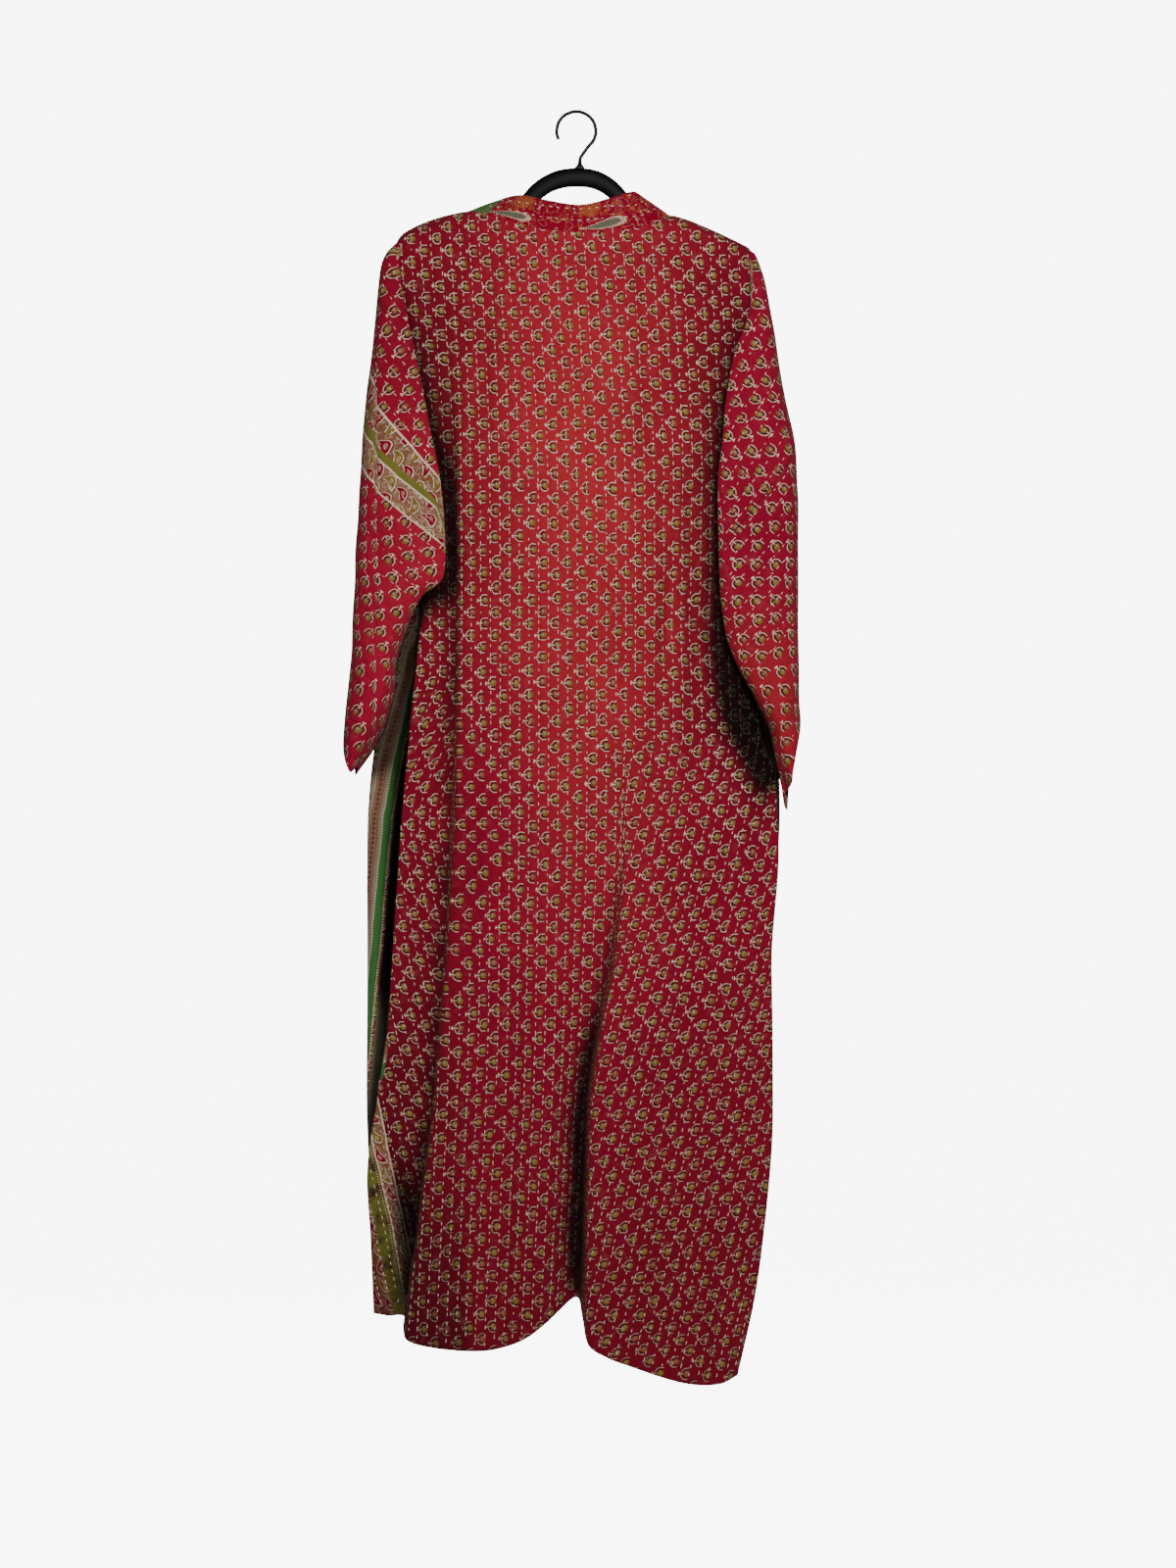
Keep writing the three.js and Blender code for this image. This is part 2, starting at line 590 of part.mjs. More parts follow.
// Closed solid through rings of points
function loft(rings) {
  const sides = rings[0].length;
  const points = rings.flat();
  const faces = [];
  for (let ring = 0; ring < rings.length - 1; ring += 1) {
    for (let side = 0; side < sides; side += 1) {
      const next = (side + 1) % sides;
      const [a, b] = [ring * sides + side, ring * sides + next];
      faces.push(a, b, b + sides, a, b + sides, a + sides);
    }
  }
  const last = (rings.length - 1) * sides;
  for (let side = 1; side < sides - 1; side += 1) {
    faces.push(0, side + 1, side, last, last + side, last + side + 1);
  }
  return solidGeometry(points, faces);
}

// Ring of points round a place on a path that lies in the plane y = 0
function pathRing(place, direction, halfHeight, halfThickness, sides) {
  const up = new THREE.Vector3(-direction.z, 0, direction.x);
  return Array.from({ length: sides }, (unused, side) => {
    const angle = ((side + 0.5) / sides) * 2 * Math.PI;
    const point = place.clone().addScaledVector(up, Math.sin(angle) * halfHeight);
    point.y += Math.cos(angle) * halfThickness;
    return point;
  });
}

// Stations of one arm, under the inner points of the cloth's top edge at some of its columns
function armStations(back, columns) {
  return columns.map((column, index) => {
    const part = index / (columns.length - 1);
    const half = part === 1 ? ARM_END_HALF : ARM_HALF;
    const clearance = mix(ARM_CLEARANCE, ARM_END_CLEARANCE, part);
    const point = back.inner[0][column];
    return { across: point.x, drop: -point.z + clearance + half, half };
  });
}

function hangerBody(back) {
  const leftArm = armStations(back, LEFT_ARM_COLUMNS).reverse();
  const rightArm = armStations(back, RIGHT_ARM_COLUMNS);
  const stations = [...leftArm, ...HANGER_ARCH, ...rightArm];
  const places = stations.map((row) => new THREE.Vector3(row.across, 0, -row.drop));
  const last = places.length - 1;
  const rings = stations.map((row, index) => {
    const before = places[Math.max(0, index - 1)];
    const direction = places[Math.min(last, index + 1)].clone().sub(before).normalize();
    return pathRing(places[index], direction, row.half, HANGER_HALF_THICKNESS, HANGER_SIDES);
  });
  return loft(rings);
}

function hangerHook() {
  const centre = WIRE_RADIUS - HOOK_RADIUS;
  const foot = SEAM_GAP - ARCH_TOP_DROP;
  const upward = new THREE.Vector3(0, 0, 1);
  const shank = (lean, above) => new THREE.Vector3(SHANK.across + lean, 0, foot + above);
  const rings = FERRULE_PROFILE.map((row) => (
    pathRing(shank(0, row.above), upward, row.radius, row.halfThickness, WIRE_SIDES)));
  const wireStart = FERRULE_PROFILE[FERRULE_PROFILE.length - 1].above;
  const bend = HOOK_DEGREES.map((degrees) => {
    const angle = THREE.MathUtils.degToRad(degrees);
    return new THREE.Vector3(Math.cos(angle) * HOOK_RADIUS, 0, centre + Math.sin(angle) * HOOK_RADIUS);
  });
  const route = new THREE.CatmullRomCurve3(
    [shank(0, wireStart), shank(SHANK.lean, wireStart + SHANK.rise), ...bend], false, 'centripetal');
  for (let step = 1; step <= HOOK_STEPS; step += 1) {
    const part = step / HOOK_STEPS;
    const direction = route.getTangentAt(part);
    rings.push(pathRing(route.getPointAt(part), direction, WIRE_RADIUS, WIRE_RADIUS, WIRE_SIDES));
  }
  return loft(rings);
}

// The whole robe on its hanger

const robe = new THREE.Group();

function addMesh(name, geometry, finish) {
  const mesh = new THREE.Mesh(geometry, new THREE.MeshStandardMaterial(finish));
  mesh.name = name;
  robe.add(mesh);
}

const back = backPanel();
const frontLeft = frontPanel(back, FRONT_LEFT_GUIDES);
const frontRight = frontPanel(back, FRONT_RIGHT_GUIDES);
const collar = collarWall(back);
const patchEnd = (PATCH_END_GUIDE - NECK_LEFT_GUIDE) * COLUMNS_PER_GUIDE;
const collarEnd = NECK_RIGHT_COLUMN - NECK_LEFT_COLUMN;

addMesh('back_panel', wallGeometry(back), FINISHES.redCloth);
addMesh('front_panel_left', wallGeometry(frontLeft), FINISHES.darkRedCloth);
addMesh('front_panel_right', wallGeometry(frontRight), FINISHES.darkRedCloth);
addMesh('sleeve_left', wallGeometry(
  sleeveWall(back, 0, frontLeft, SLEEVE_LEFT_RINGS, SLEEVE_LEFT_TUBE, -1)), FINISHES.redCloth);
addMesh('sleeve_right', wallGeometry(
  sleeveWall(back, BACK_COLUMNS, frontRight, SLEEVE_RIGHT_RINGS, SLEEVE_RIGHT_TUBE, 1)), FINISHES.redCloth);
addMesh('neckband_patch', wallGeometry(wallPart(collar, 0, patchEnd)), FINISHES.patchCloth);
addMesh('neckband_back', wallGeometry(wallPart(collar, patchEnd, collarEnd)), FINISHES.bandCloth);
addMesh('neckband_left', wallGeometry(frontBand(frontLeft, COLLAR_STAND[0], 1)), FINISHES.bandCloth);
addMesh('neckband_right', wallGeometry(
  frontBand(frontRight, COLLAR_STAND[COLLAR_STAND.length - 1], -1)), FINISHES.bandCloth);
addMesh('hanger_body', hangerBody(back), FINISHES.blackPlastic);
addMesh('hanger_hook', hangerHook(), FINISHES.blackMetal);

export default robe;
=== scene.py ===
import math
from collections import namedtuple

import bmesh
import bpy
import numpy as np
from mathutils import Matrix, Vector


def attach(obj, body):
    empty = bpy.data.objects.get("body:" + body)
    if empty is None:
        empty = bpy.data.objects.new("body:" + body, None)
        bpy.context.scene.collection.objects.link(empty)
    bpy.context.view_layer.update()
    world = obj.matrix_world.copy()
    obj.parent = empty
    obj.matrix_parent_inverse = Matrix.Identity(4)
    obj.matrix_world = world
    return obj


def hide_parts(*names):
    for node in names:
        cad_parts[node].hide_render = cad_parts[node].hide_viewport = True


bl_info = {
    "name": "Long stitched robe on a hanger",
    "version": (1, 0, 0),
    "blender": (4, 5, 0),
    "location": "View3D > Sidebar > Robe",
    "description": "Dresses the robe's solids with printed cloth, running stitches and a hanger",
    "category": "Object",
}

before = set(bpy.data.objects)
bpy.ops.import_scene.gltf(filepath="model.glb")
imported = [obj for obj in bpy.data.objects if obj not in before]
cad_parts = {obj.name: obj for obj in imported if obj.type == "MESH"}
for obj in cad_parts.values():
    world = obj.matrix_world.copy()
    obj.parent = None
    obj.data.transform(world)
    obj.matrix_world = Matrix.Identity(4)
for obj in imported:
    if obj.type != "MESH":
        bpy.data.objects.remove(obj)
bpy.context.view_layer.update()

# Everything below is in millimetres, measured down from the hook: z = -drop. The back faces -Y.
MM = 0.001
SEAM_GAP = 0.3
CLOTH_WALL = 2

# A panel's coarse grid, as its solid has it
STATIONS = (110, 360, 540, 600, 750, 930, 1075, 1125, 1300, 1415)
SHOULDER_ROUND = 22
UNDERARM_DROP = 537
ARMHOLE_ROWS = 10
SKIRT_ROWS = 10
ROW_CROWDING = 1.6
COLUMNS_PER_GUIDE = 2

# Guides of the back: the ends of the neckline, the end of the green patch, the line that the print is
# measured from, and the left groove
NECK_LEFT_GUIDE = 3
NECK_RIGHT_GUIDE = 9
NECK_FADE = 0.9
PATCH_END_GUIDE = 4
PRINT_GUIDE = 5
GROOVE_GUIDE = 2

# Neckband: width, lean at the hem, where it turns from standing to lying flat, and its strips
BAND_WIDTH = 38
BAND_LEAN = 3
BAND_TURN = (114, 290)
COLLAR_STRIPS = 3

# How a sleeve laps behind the side of the back and is rounded at its inner fold
LAP_OUT = 24
LAP_BEND = 4
LAP_FULL = (2, 14)
FOLD_ROUND = (8, 0.25)
RING_STEPS = 2
FOLD_COLUMN = 8
OUTER_COLUMN = 16

# Hanger: the back grid's columns that the arms run under, then sizes of arms, ferrule and hook
LEFT_ARM_COLUMNS = (5, 4, 3, 2)
RIGHT_ARM_COLUMNS = (19, 20, 21)
ARM_HALF = 8
ARM_END_HALF = 5
ARM_CLEARANCE = 1.3
ARM_END_CLEARANCE = 3.4
HANGER_HALF_THICKNESS = 4
ARCH_TOP_DROP = 61.6
FERRULE_PROFILE = ((0, 6, 4), (1.5, 4.6, 4), (3.5, 3, 3), (7, 2, 2))
SHANK_ACROSS = 4
SHANK_SWAY = (0.6, 4)
HOOK_DEGREES = (-52, -30, -5, 25, 55, 90, 125, 155, 185, 205)
HOOK_RADIUS = 22
WIRE_RADIUS = 2

# Points of each fine cloth for one row and one column of the coarse one
PANEL_FINE = (20, 5)
SLEEVE_FINE = (12, 4)

# A guide runs down a panel: its top and hem drops, then its place across and how far it stands out at
# each station. A ring runs round a sleeve: its drops, its inner fold and outer edge across, and how far
# it stands out at the back and at the front. An arch is a place on the hanger with half its height.
Guide = namedtuple("Guide", "name top hem across out")
Stand = namedtuple("Stand", "across out rise")
Ring = namedtuple("Ring", "high fold outer back front")
TubeRing = namedtuple("TubeRing", "seam high reach fold outer back front")
Arch = namedtuple("Arch", "across drop half")
Crease = namedtuple("Crease", "depth width drops across")

BACK_GUIDES = (
    Guide("left edge", 140, 1344,
          (-201, -184, -173, -177, -186, -199, -208, -231, -228, -223),
          (12, 14, 3, 6, 8, 8, 10, 24, 22, 20)),
    Guide("border fold", 132.4, 1347,
          (-192, -176, -166, -174, -190, -202, -213, -219, -209, -209),
          (14, 15, 10, 13, 20, 21, 22, 22, 20, 18)),
    Guide("left groove", 120.8, 1350,
          (-167, -141, -138, -138, -143, -152, -162, -166, -187, -199),
          (16, 13, 11, 10, 10, 10, 10, 10, 8, 8)),
    Guide("left crest", 110, 1374,
          (-121, -126, -126, -127, -130, -140, -151, -156, -177, -190),
          (16, 22, 24, 24, 25, 28, 30, 31, 34, 36)),
    Guide("left hollow", 117, 1386,
          (-88, -80, -80, -81, -84, -88, -91, -93, -102, -108),
          (17, 25, 26, 26, 24, 24, 26, 26, 26, 24)),
    Guide("left swell", 129.4, 1367,
          (-47, -33, -31, -31, -31, -33, -36, -38, -47, -53),
          (20, 26, 30, 30, 31, 32, 33, 34, 34, 34)),
    Guide("main fold floor", 134.6, 1328,
          (1, 22, 35, 38, 43, 34, 11, 7, 1, 0),
          (20, 26, 30, 30, 30, 16, 10, 8, 5, 4)),
    Guide("main fold edge", 131, 1376,
          (40, 50, 55, 57, 59, 47, 22, 18, 13, 13),
          (20, 26, 30, 31, 33, 35, 37, 38, 41, 43)),
    Guide("right swell", 127.5, 1402,
          (77, 82, 88, 90, 92, 85, 68, 66, 63, 63),
          (18, 25, 29, 30, 32, 34, 34, 34, 36, 38)),
    Guide("right hollow", 114.5, 1422,
          (104.5, 118, 123, 126, 130, 132, 123, 123, 123, 123),
          (16, 23, 24, 24, 25, 26, 28, 28, 27, 25)),
    Guide("right crest", 128.8, 1420,
          (147, 160, 166, 170, 182, 186, 178, 176, 169, 162),
          (16, 17, 19, 20, 27, 31, 33, 34, 36, 38)),
    Guide("right edge", 150.6, 1412,
          (193, 196, 195, 197, 212, 218, 220, 221, 204, 180),
          (12, 14, 3, 6, 18, 21, 22, 22, 23, 23)),
)
FRONT_LEFT_GUIDES = (
    Guide("side edge", 0, 1344,
          (-201, -184, -173, -204, -233, -236, -236, -236, -231, -227),
          (12, 14, 4, 27, 36, 38, 38, 38, 36, 36)),
    Guide("side fold", 0, 1346,
          (-192, -174, -160, -176, -202, -218, -227, -229, -214, -209),
          (14, 17, 14, 24, 31, 35, 37, 37, 40, 40)),
    Guide("side hollow", 0, 1350,
          (-170, -142, -134, -142, -162, -172, -176, -176, -170, -165),
          (16, 22, 28, 35, 46, 50, 52, 52, 50, 50)),
    Guide("front crest", 0, 1352,
          (-150, -114, -108, -111, -115, -120, -122, -122, -122, -120),
          (16, 23, 30, 32, 35, 36, 38, 38, 41, 42)),
    Guide("front hollow", 0, 1346,
          (-134, -82, -76, -76, -78, -80, -82, -82, -84, -84),
          (16, 26, 34, 37, 42, 46, 48, 48, 52, 52)),
    Guide("band seam", 0, 1336,
          (-121, -51, -46, -46, -46, -46, -46, -46, -46, -46),
          (15, 24, 32, 33, 36, 38, 40, 40, 42, 43)),
)
FRONT_RIGHT_GUIDES = (
    Guide("side edge", 0, 1400,
          (193, 196, 195, 208, 230, 221, 219, 218, 200, 178),
          (12, 14, 3, 25, 36, 38, 40, 40, 38, 38)),
    Guide("side fold", 0, 1394,
          (178, 182, 182, 187, 204, 200, 197, 196, 180, 162),
          (14, 17, 14, 24, 31, 34, 35, 35, 34, 34)),
    Guide("side hollow", 0, 1388,
          (148, 148, 146, 151, 166, 163, 160, 158, 146, 134),
          (16, 22, 28, 34, 44, 48, 50, 50, 52, 50)),
    Guide("front crest", 0, 1378,
          (129, 116, 112, 114, 118, 118, 116, 114, 108, 100),
          (16, 23, 30, 32, 34, 35, 37, 38, 40, 41)),
    Guide("front hollow", 0, 1362,
          (116, 82, 78, 78, 80, 80, 80, 80, 76, 72),
          (16, 26, 34, 37, 41, 45, 47, 48, 50, 52)),
    Guide("band seam", 0, 1344,
          (104.5, 52, 46, 46, 46, 46, 46, 46, 45, 44),
          (15, 24, 32, 33, 36, 39, 41, 41, 44, 45)),
)
COLLAR_STAND = (
    Stand(35, 0, 13),
    Stand(28, -9, 24),
    Stand(9, -8, 31),
    Stand(0, -7, 30),
    Stand(-7, -8, 33),
    Stand(-17, -10, 38),
    Stand(-30, 0, 21),
)
SLEEVE_LEFT_RINGS = (
    Ring(156, 200, 212.5, 16, 14),
    Ring(172, 196, 219.5, 20, 17),
    Ring(200, 190, 223, 25, 19),
    Ring(235, 181, 226, 29, 21),
    Ring(275, 172, 230, 33, 22),
    Ring(315, 163, 235.5, 36, 23),
    Ring(365, 153, 240, 39, 24),
    Ring(415, 147, 243, 42, 24),
    Ring(470, 148, 246, 45, 22),
)
SLEEVE_LEFT_TUBE = (
    TubeRing(556, 500, 184, 171, 247.5, 48, 18),
    TubeRing(592, 540, 194, 190, 248.5, 50, 17),
    TubeRing(625, 572, 202, 200, 250, 52, 17),
    TubeRing(660, 604, 206, 204, 251.5, 52, 17),
    TubeRing(690, 632, 214, 212, 254, 52, 17),
    TubeRing(716, 652, 228, 226, 256, 51, 17),
    TubeRing(733, 666, 240, 238, 258, 50, 17),
    TubeRing(743, 676, 247.5, 246, 258.5, 49, 17),
)
SLEEVE_RIGHT_RINGS = (
    Ring(160, 196.5, 202, 16, 14),
    Ring(184, 196, 211, 20, 17),
    Ring(213, 191, 217, 25, 19),
    Ring(246, 177, 223, 29, 21),
    Ring(284, 169, 228.5, 33, 22),
    Ring(325, 164, 236, 36, 23),
    Ring(372, 159.5, 245, 39, 24),
    Ring(423, 158, 248.5, 42, 24),
    Ring(480, 160, 249, 45, 22),
)
SLEEVE_RIGHT_TUBE = (
    TubeRing(568, 508, 200, 162, 249, 48, 18),
    TubeRing(604, 540, 202, 167, 249, 50, 17),
    TubeRing(638, 572, 205, 181, 248.5, 52, 17),
    TubeRing(670, 600, 210, 197, 249, 53, 17),
    TubeRing(702, 630, 217, 213, 249.5, 53, 17),
    TubeRing(734, 652, 225, 221, 249.5, 51, 17),
    TubeRing(760, 668, 231, 229, 249, 50, 17),
    TubeRing(782, 682, 236, 234.5, 249, 48, 17),
)
HANGER_ARCH = (
    Arch(-100, 118, 8.5),
    Arch(-80, 111, 8.5),
    Arch(-64, 105, 8.5),
    Arch(-53, 97, 9),
    Arch(-43, 87, 9.5),
    Arch(-30, 78.5, 10),
    Arch(-15, 73.3, 10.5),
    Arch(2, 72, 10.5),
    Arch(18, 73.7, 10.5),
    Arch(32, 79.5, 10),
    Arch(43, 88, 9.5),
    Arch(52, 98, 9),
    Arch(64, 109, 8.5),
    Arch(84, 121, 8.5),
    Arch(105, 130, 8.5),
)

# Creases: how far each stands out, half its width, and its places across at some drops
BACK_CREASES = (
    Crease(-2.4, 4.5, (470, 520, 600, 690, 770), (102, 99, 91, 82, 78)),
    Crease(-2.2, 5, (430, 500, 580, 650), (90, 92, 93, 97)),
    Crease(-2.6, 4.5, (415, 460, 560, 665), (121, 123, 124, 127)),
    Crease(2.0, 8, (420, 500, 640), (107, 108, 111)),
    Crease(-2.2, 5, (800, 850, 950), (133, 134, 136)),
    Crease(-2.6, 7, (1290, 1340, 1400), (152, 150, 146)),
    Crease(2.2, 9, (1240, 1320, 1420), (120, 116, 110)),
    Crease(-1.6, 7, (180, 260, 400), (-92, -96, -100)),
    Crease(1.4, 9, (170, 280, 420), (-66, -70, -70)),
    Crease(-1.5, 8, (170, 260, 380), (66, 70, 74)),
    Crease(-2.0, 8, (560, 700, 860, 1000), (-104, -106, -112, -116)),
    Crease(-2.4, 9, (900, 1050, 1250, 1400), (-66, -70, -78, -86)),
    Crease(1.8, 10, (980, 1120, 1380), (-20, -24, -30)),
    Crease(-1.8, 6, (1050, 1200, 1400), (92, 90, 86)),
    Crease(-1.4, 6, (600, 700, 800), (-10, -8, -6)),
    Crease(1.4, 8, (560, 720, 900), (16, 18, 20)),
    Crease(-5.0, 11, (1060, 1120, 1200, 1270), (-208, -204, -197, -190)),
)
FRONT_LEFT_CREASES = (
    Crease(-2.4, 8, (260, 420, 600), (-92, -94, -96)),
    Crease(-2.6, 9, (650, 850, 1100, 1340), (-146, -150, -150, -146)),
    Crease(2.2, 10, (700, 950, 1340), (-100, -102, -104)),
    Crease(-2.2, 7, (900, 1100, 1345), (-68, -70, -72)),
    Crease(-1.8, 6, (420, 520, 640), (-122, -126, -140)),
    Crease(9.0, 11, (600, 720, 900, 1010), (-196, -192, -200, -208)),
)
FRONT_RIGHT_CREASES = (
    Crease(-2.4, 8, (280, 430, 620), (94, 96, 98)),
    Crease(-2.4, 9, (680, 900, 1150, 1380), (142, 146, 142, 130)),
    Crease(2.2, 10, (640, 900, 1360), (98, 100, 98)),
    Crease(-2.2, 7, (850, 1050, 1360), (66, 68, 66)),
    Crease(-1.8, 6, (400, 520, 650), (124, 130, 144)),
)


def mix(start, end, part):
    return start + (end - start) * part


def smooth_step(start, end, value):
    part = np.clip((value - start) / (end - start), 0, 1)
    return part * part * (3 - 2 * part)


def through(knots, values, place):
    """Smooth values at places, through the values that stand at rising knots along the last axis."""
    knots, values, place = (np.asarray(item, float) for item in (knots, values, place))
    last = len(knots) - 1
    before = np.maximum(np.arange(last + 1) - 1, 0)
    after = np.minimum(np.arange(last + 1) + 1, last)
    slopes = (values[..., after] - values[..., before]) / (knots[after] - knots[before])
    at = np.clip(place, knots[0], knots[-1])
    index = np.clip(np.searchsorted(knots, at) - 1, 0, last - 1)
    span = knots[index + 1] - knots[index]
    part = (at - knots[index]) / span
    square, cube = part**2, part**3
    start = values[..., index] * (2 * cube - 3 * square + 1)
    end = values[..., index + 1] * (3 * square - 2 * cube)
    leave = slopes[..., index] * span * (cube - 2 * square + part)
    arrive = slopes[..., index + 1] * span * (cube - square)
    return start + end + leave + arrive


def between_drops(drop, begins, ends):
    """1 between two ramps, each given by where it starts and where it is full or gone."""
    return smooth_step(*begins, drop) * (1 - smooth_step(*ends, drop))


def column_of(rows, name):
    return [getattr(row, name) for row in rows]


def refine(grid, rows, columns):
    """Finer points of a grid (rows, columns, 3), smooth through its own points."""
    down = through(range(grid.shape[0]), np.moveaxis(grid, 0, -1), rows)
    over = through(range(grid.shape[1]), np.moveaxis(down, 0, -1), columns)
    return np.moveaxis(over, 0, -1)


def fine_places(count, steps):
    return np.linspace(0, count - 1, (count - 1) * steps + 1)


def grid_normals(points, facing):
    """Outward normals of a cloth's points. facing is the side of the grid that looks out."""
    down = np.gradient(points, axis=0)
    over = np.gradient(points, axis=1)
    normals = np.cross(down, over) * facing
    return normals / np.maximum(np.linalg.norm(normals, axis=-1, keepdims=True), 1e-9)


# Coarse grids of the cloths, as their solids have them


def row_drops(top, hem):
    armhole = mix(top, UNDERARM_DROP, (np.arange(ARMHOLE_ROWS + 1) / ARMHOLE_ROWS) ** ROW_CROWDING)
    skirt = mix(UNDERARM_DROP, hem, np.arange(1, SKIRT_ROWS + 1) / SKIRT_ROWS)
    return np.concatenate([armhole, skirt])


def shoulder_round(below_top):
    part = np.clip(below_top / SHOULDER_ROUND, 0, 1)
    return np.sqrt(1 - (1 - part) ** 2)


def panel_grid(guides, side, top_drop, over_shoulder):
    order = range(len(guides))
    across_table = np.array(column_of(guides, "across"), float)
    out_table = np.array(column_of(guides, "out"), float)
    columns = []
    for place in np.arange((len(guides) - 1) * COLUMNS_PER_GUIDE + 1) / COLUMNS_PER_GUIDE:
        top = top_drop(place)
        drop = row_drops(top, through(order, column_of(guides, "hem"), place))
        across = through(order, through(STATIONS, across_table, drop).T, place)
        hang = through(order, through(STATIONS, out_table, drop).T, place)
        rounding = mix(1, shoulder_round(drop - top), over_shoulder(place))
        out = np.maximum(SEAM_GAP / 2, hang * rounding)
        columns.append(np.stack([across, side * out, -drop], axis=-1))
    return np.stack(columns, axis=1)


def back_over_shoulder(place):
    left = 1 - smooth_step(NECK_LEFT_GUIDE, NECK_LEFT_GUIDE + NECK_FADE, place)
    right = smooth_step(NECK_RIGHT_GUIDE - NECK_FADE, NECK_RIGHT_GUIDE, place)
    return max(left, right)


def coarse_back():
    order, tops = range(len(BACK_GUIDES)), column_of(BACK_GUIDES, "top")
    return panel_grid(BACK_GUIDES, -1, lambda place: through(order, tops, place), back_over_shoulder)


def coarse_front(guides, back):
    shoulder = [guide.across[0] for guide in guides]
    order = range(len(guides))
    line = back[0]

    def top_drop(place):
        return -np.interp(through(order, shoulder, place), line[:, 0], line[:, 2])

    return panel_grid(guides, 1, top_drop, lambda place: 1)


def ring_points(ring, back_seam, front_seam):
    """Control points round a sleeve, as reach, y and rise, from the back seam to the front one.

    Bare numbers are shares of the way from one named place to the next, or up the ring.
    """
    reach = abs(back_seam[0])
    seam = -back_seam[1]
    lap = smooth_step(*LAP_FULL, reach - ring.fold)
    rounding = min(FOLD_ROUND[0], (ring.outer - ring.fold) * FOLD_ROUND[1])
    past = max(reach + 0.8, ring.fold)

    def plain(part):
        return mix(seam, ring.back, part)

    return (
        (reach, -seam, 0),
        (reach + mix(0.6, LAP_BEND, lap), -mix(plain(0.2), seam + 2.5, lap), 0.04),
        (mix(past, reach + 2, lap), -mix(plain(0.4), mix(seam, LAP_OUT, 0.7), lap), 0.09),
        (mix(reach, ring.fold, 0.55), -mix(plain(0.5), LAP_OUT, lap), 0.15),
        (ring.fold, -mix(plain(0.6), mix(LAP_OUT, ring.back, 0.5), lap), 0.22),
        (ring.fold + rounding, -ring.back, 0.32),
        (mix(ring.fold, ring.outer, 0.55), -ring.back - 1.5, 0.6),
        (mix(ring.fold, ring.outer, 0.88), -ring.back * 0.78, 0.86),
        (ring.outer, mix(-ring.back, ring.front, 0.5), 1),
        (mix(ring.outer, reach, 0.12), mix(-ring.back, ring.front, 0.85), 1.12),
        (mix(ring.outer, reach, 0.5), ring.front, 0.8),
        (mix(ring.outer, reach, 0.85), mix(ring.front, front_seam[1], 0.3), 0.3),
        (abs(front_seam[0]), front_seam[1], 0),
    )


def ring_line(ring, back_seam, front_seam, side):
    points = np.array(ring_points(ring, back_seam, front_seam)).T
    order = range(points.shape[1])
    places = fine_places(points.shape[1], RING_STEPS)
    reach, y, rise = through(order, points, places)
    return np.stack([side * reach, y, mix(back_seam[2], -ring.high, rise)], axis=-1)


def shoulder_line(start, end, top, side, count):
    part = np.linspace(0, 2, count)
    high = 1 - np.abs(part - 1)
    over = np.where(part < 1, mix(start[1], 0, part), mix(0, end[1], part - 1))
    across = mix(start[0], top[0], high) + side * SEAM_GAP
    return np.stack([across, over, mix(start[2], top[2], high)], axis=-1)


def coarse_sleeve(back, back_column, front, rings, tube, side):
    gap = np.array([side * SEAM_GAP, 0, 0])
    lines = []
    for row, ring in enumerate(rings, start=2):
        lines.append(ring_line(ring, back[row, back_column] + gap, front[row, 0] + gap, side))
    for ring in tube:
        seam = np.array([side * ring.reach, -SEAM_GAP / 2, -ring.seam])
        lines.append(ring_line(ring, seam, seam * (1, -1, 1), side))
    top = shoulder_line(back[1, back_column], front[1, 0], back[0, back_column], side, len(lines[0]))
    return np.stack([top, *lines])


# Fine cloths

CREASE_END = 30


def crease_relief(creases, points):
    """How far the listed creases stand out at each point."""
    across, drop = points[..., 0], -points[..., 2]
    relief = np.zeros(across.shape)
    for crease in creases:
        centre = np.interp(drop, crease.drops, crease.across)
        begins, ends = ((at - CREASE_END, at + CREASE_END) for at in (crease.drops[0], crease.drops[-1]))
        profile = np.exp(-(((across - centre) / crease.width) ** 2))
        relief += crease.depth * profile * between_drops(drop, begins, ends)
    return relief


def soft_swell(points, seed):
    """Slow, uneven swelling of hanging cloth, within a millimetre or so, in waves across and down."""
    across, drop = points[..., 0], -points[..., 2]
    turn = 1.7 * seed
    slow = np.sin(across / 17 + 1.6 * np.sin(drop / 140 + turn) + turn)
    slow = slow * np.sin(drop / 95 + across / 60 + 2 * turn)
    small = np.sin(across / 7.5 + 2.0 * np.sin(drop / 47 + turn))
    small = small * np.sin(drop / 33 + across / 21 + turn)
    return 0.75 * slow + 0.35 * small


def edge_fade(shape, rows=(0, 0), columns=(0, 0)):
    """1 inside a cloth and 0 at its edges, over this many of its points from each."""
    fade = np.ones(shape)
    for axis, ends in enumerate((rows, columns)):
        count = shape[axis]
        index = np.arange(count)
        line = np.ones(count)
        for end, away in zip(ends, (index, count - 1 - index)):
            if end:
                line *= smooth_step(0, end, away)
        fade *= line[:, None] if axis == 0 else line[None, :]
    return fade


def arc_across(points, column):
    """Distance along each row in the horizontal plane, from one of its columns."""
    steps = np.linalg.norm(np.diff(points[..., :2], axis=1), axis=-1)
    arc = np.concatenate([np.zeros((points.shape[0], 1)), np.cumsum(steps, axis=1)], axis=1)
    return arc - arc[:, column : column + 1]


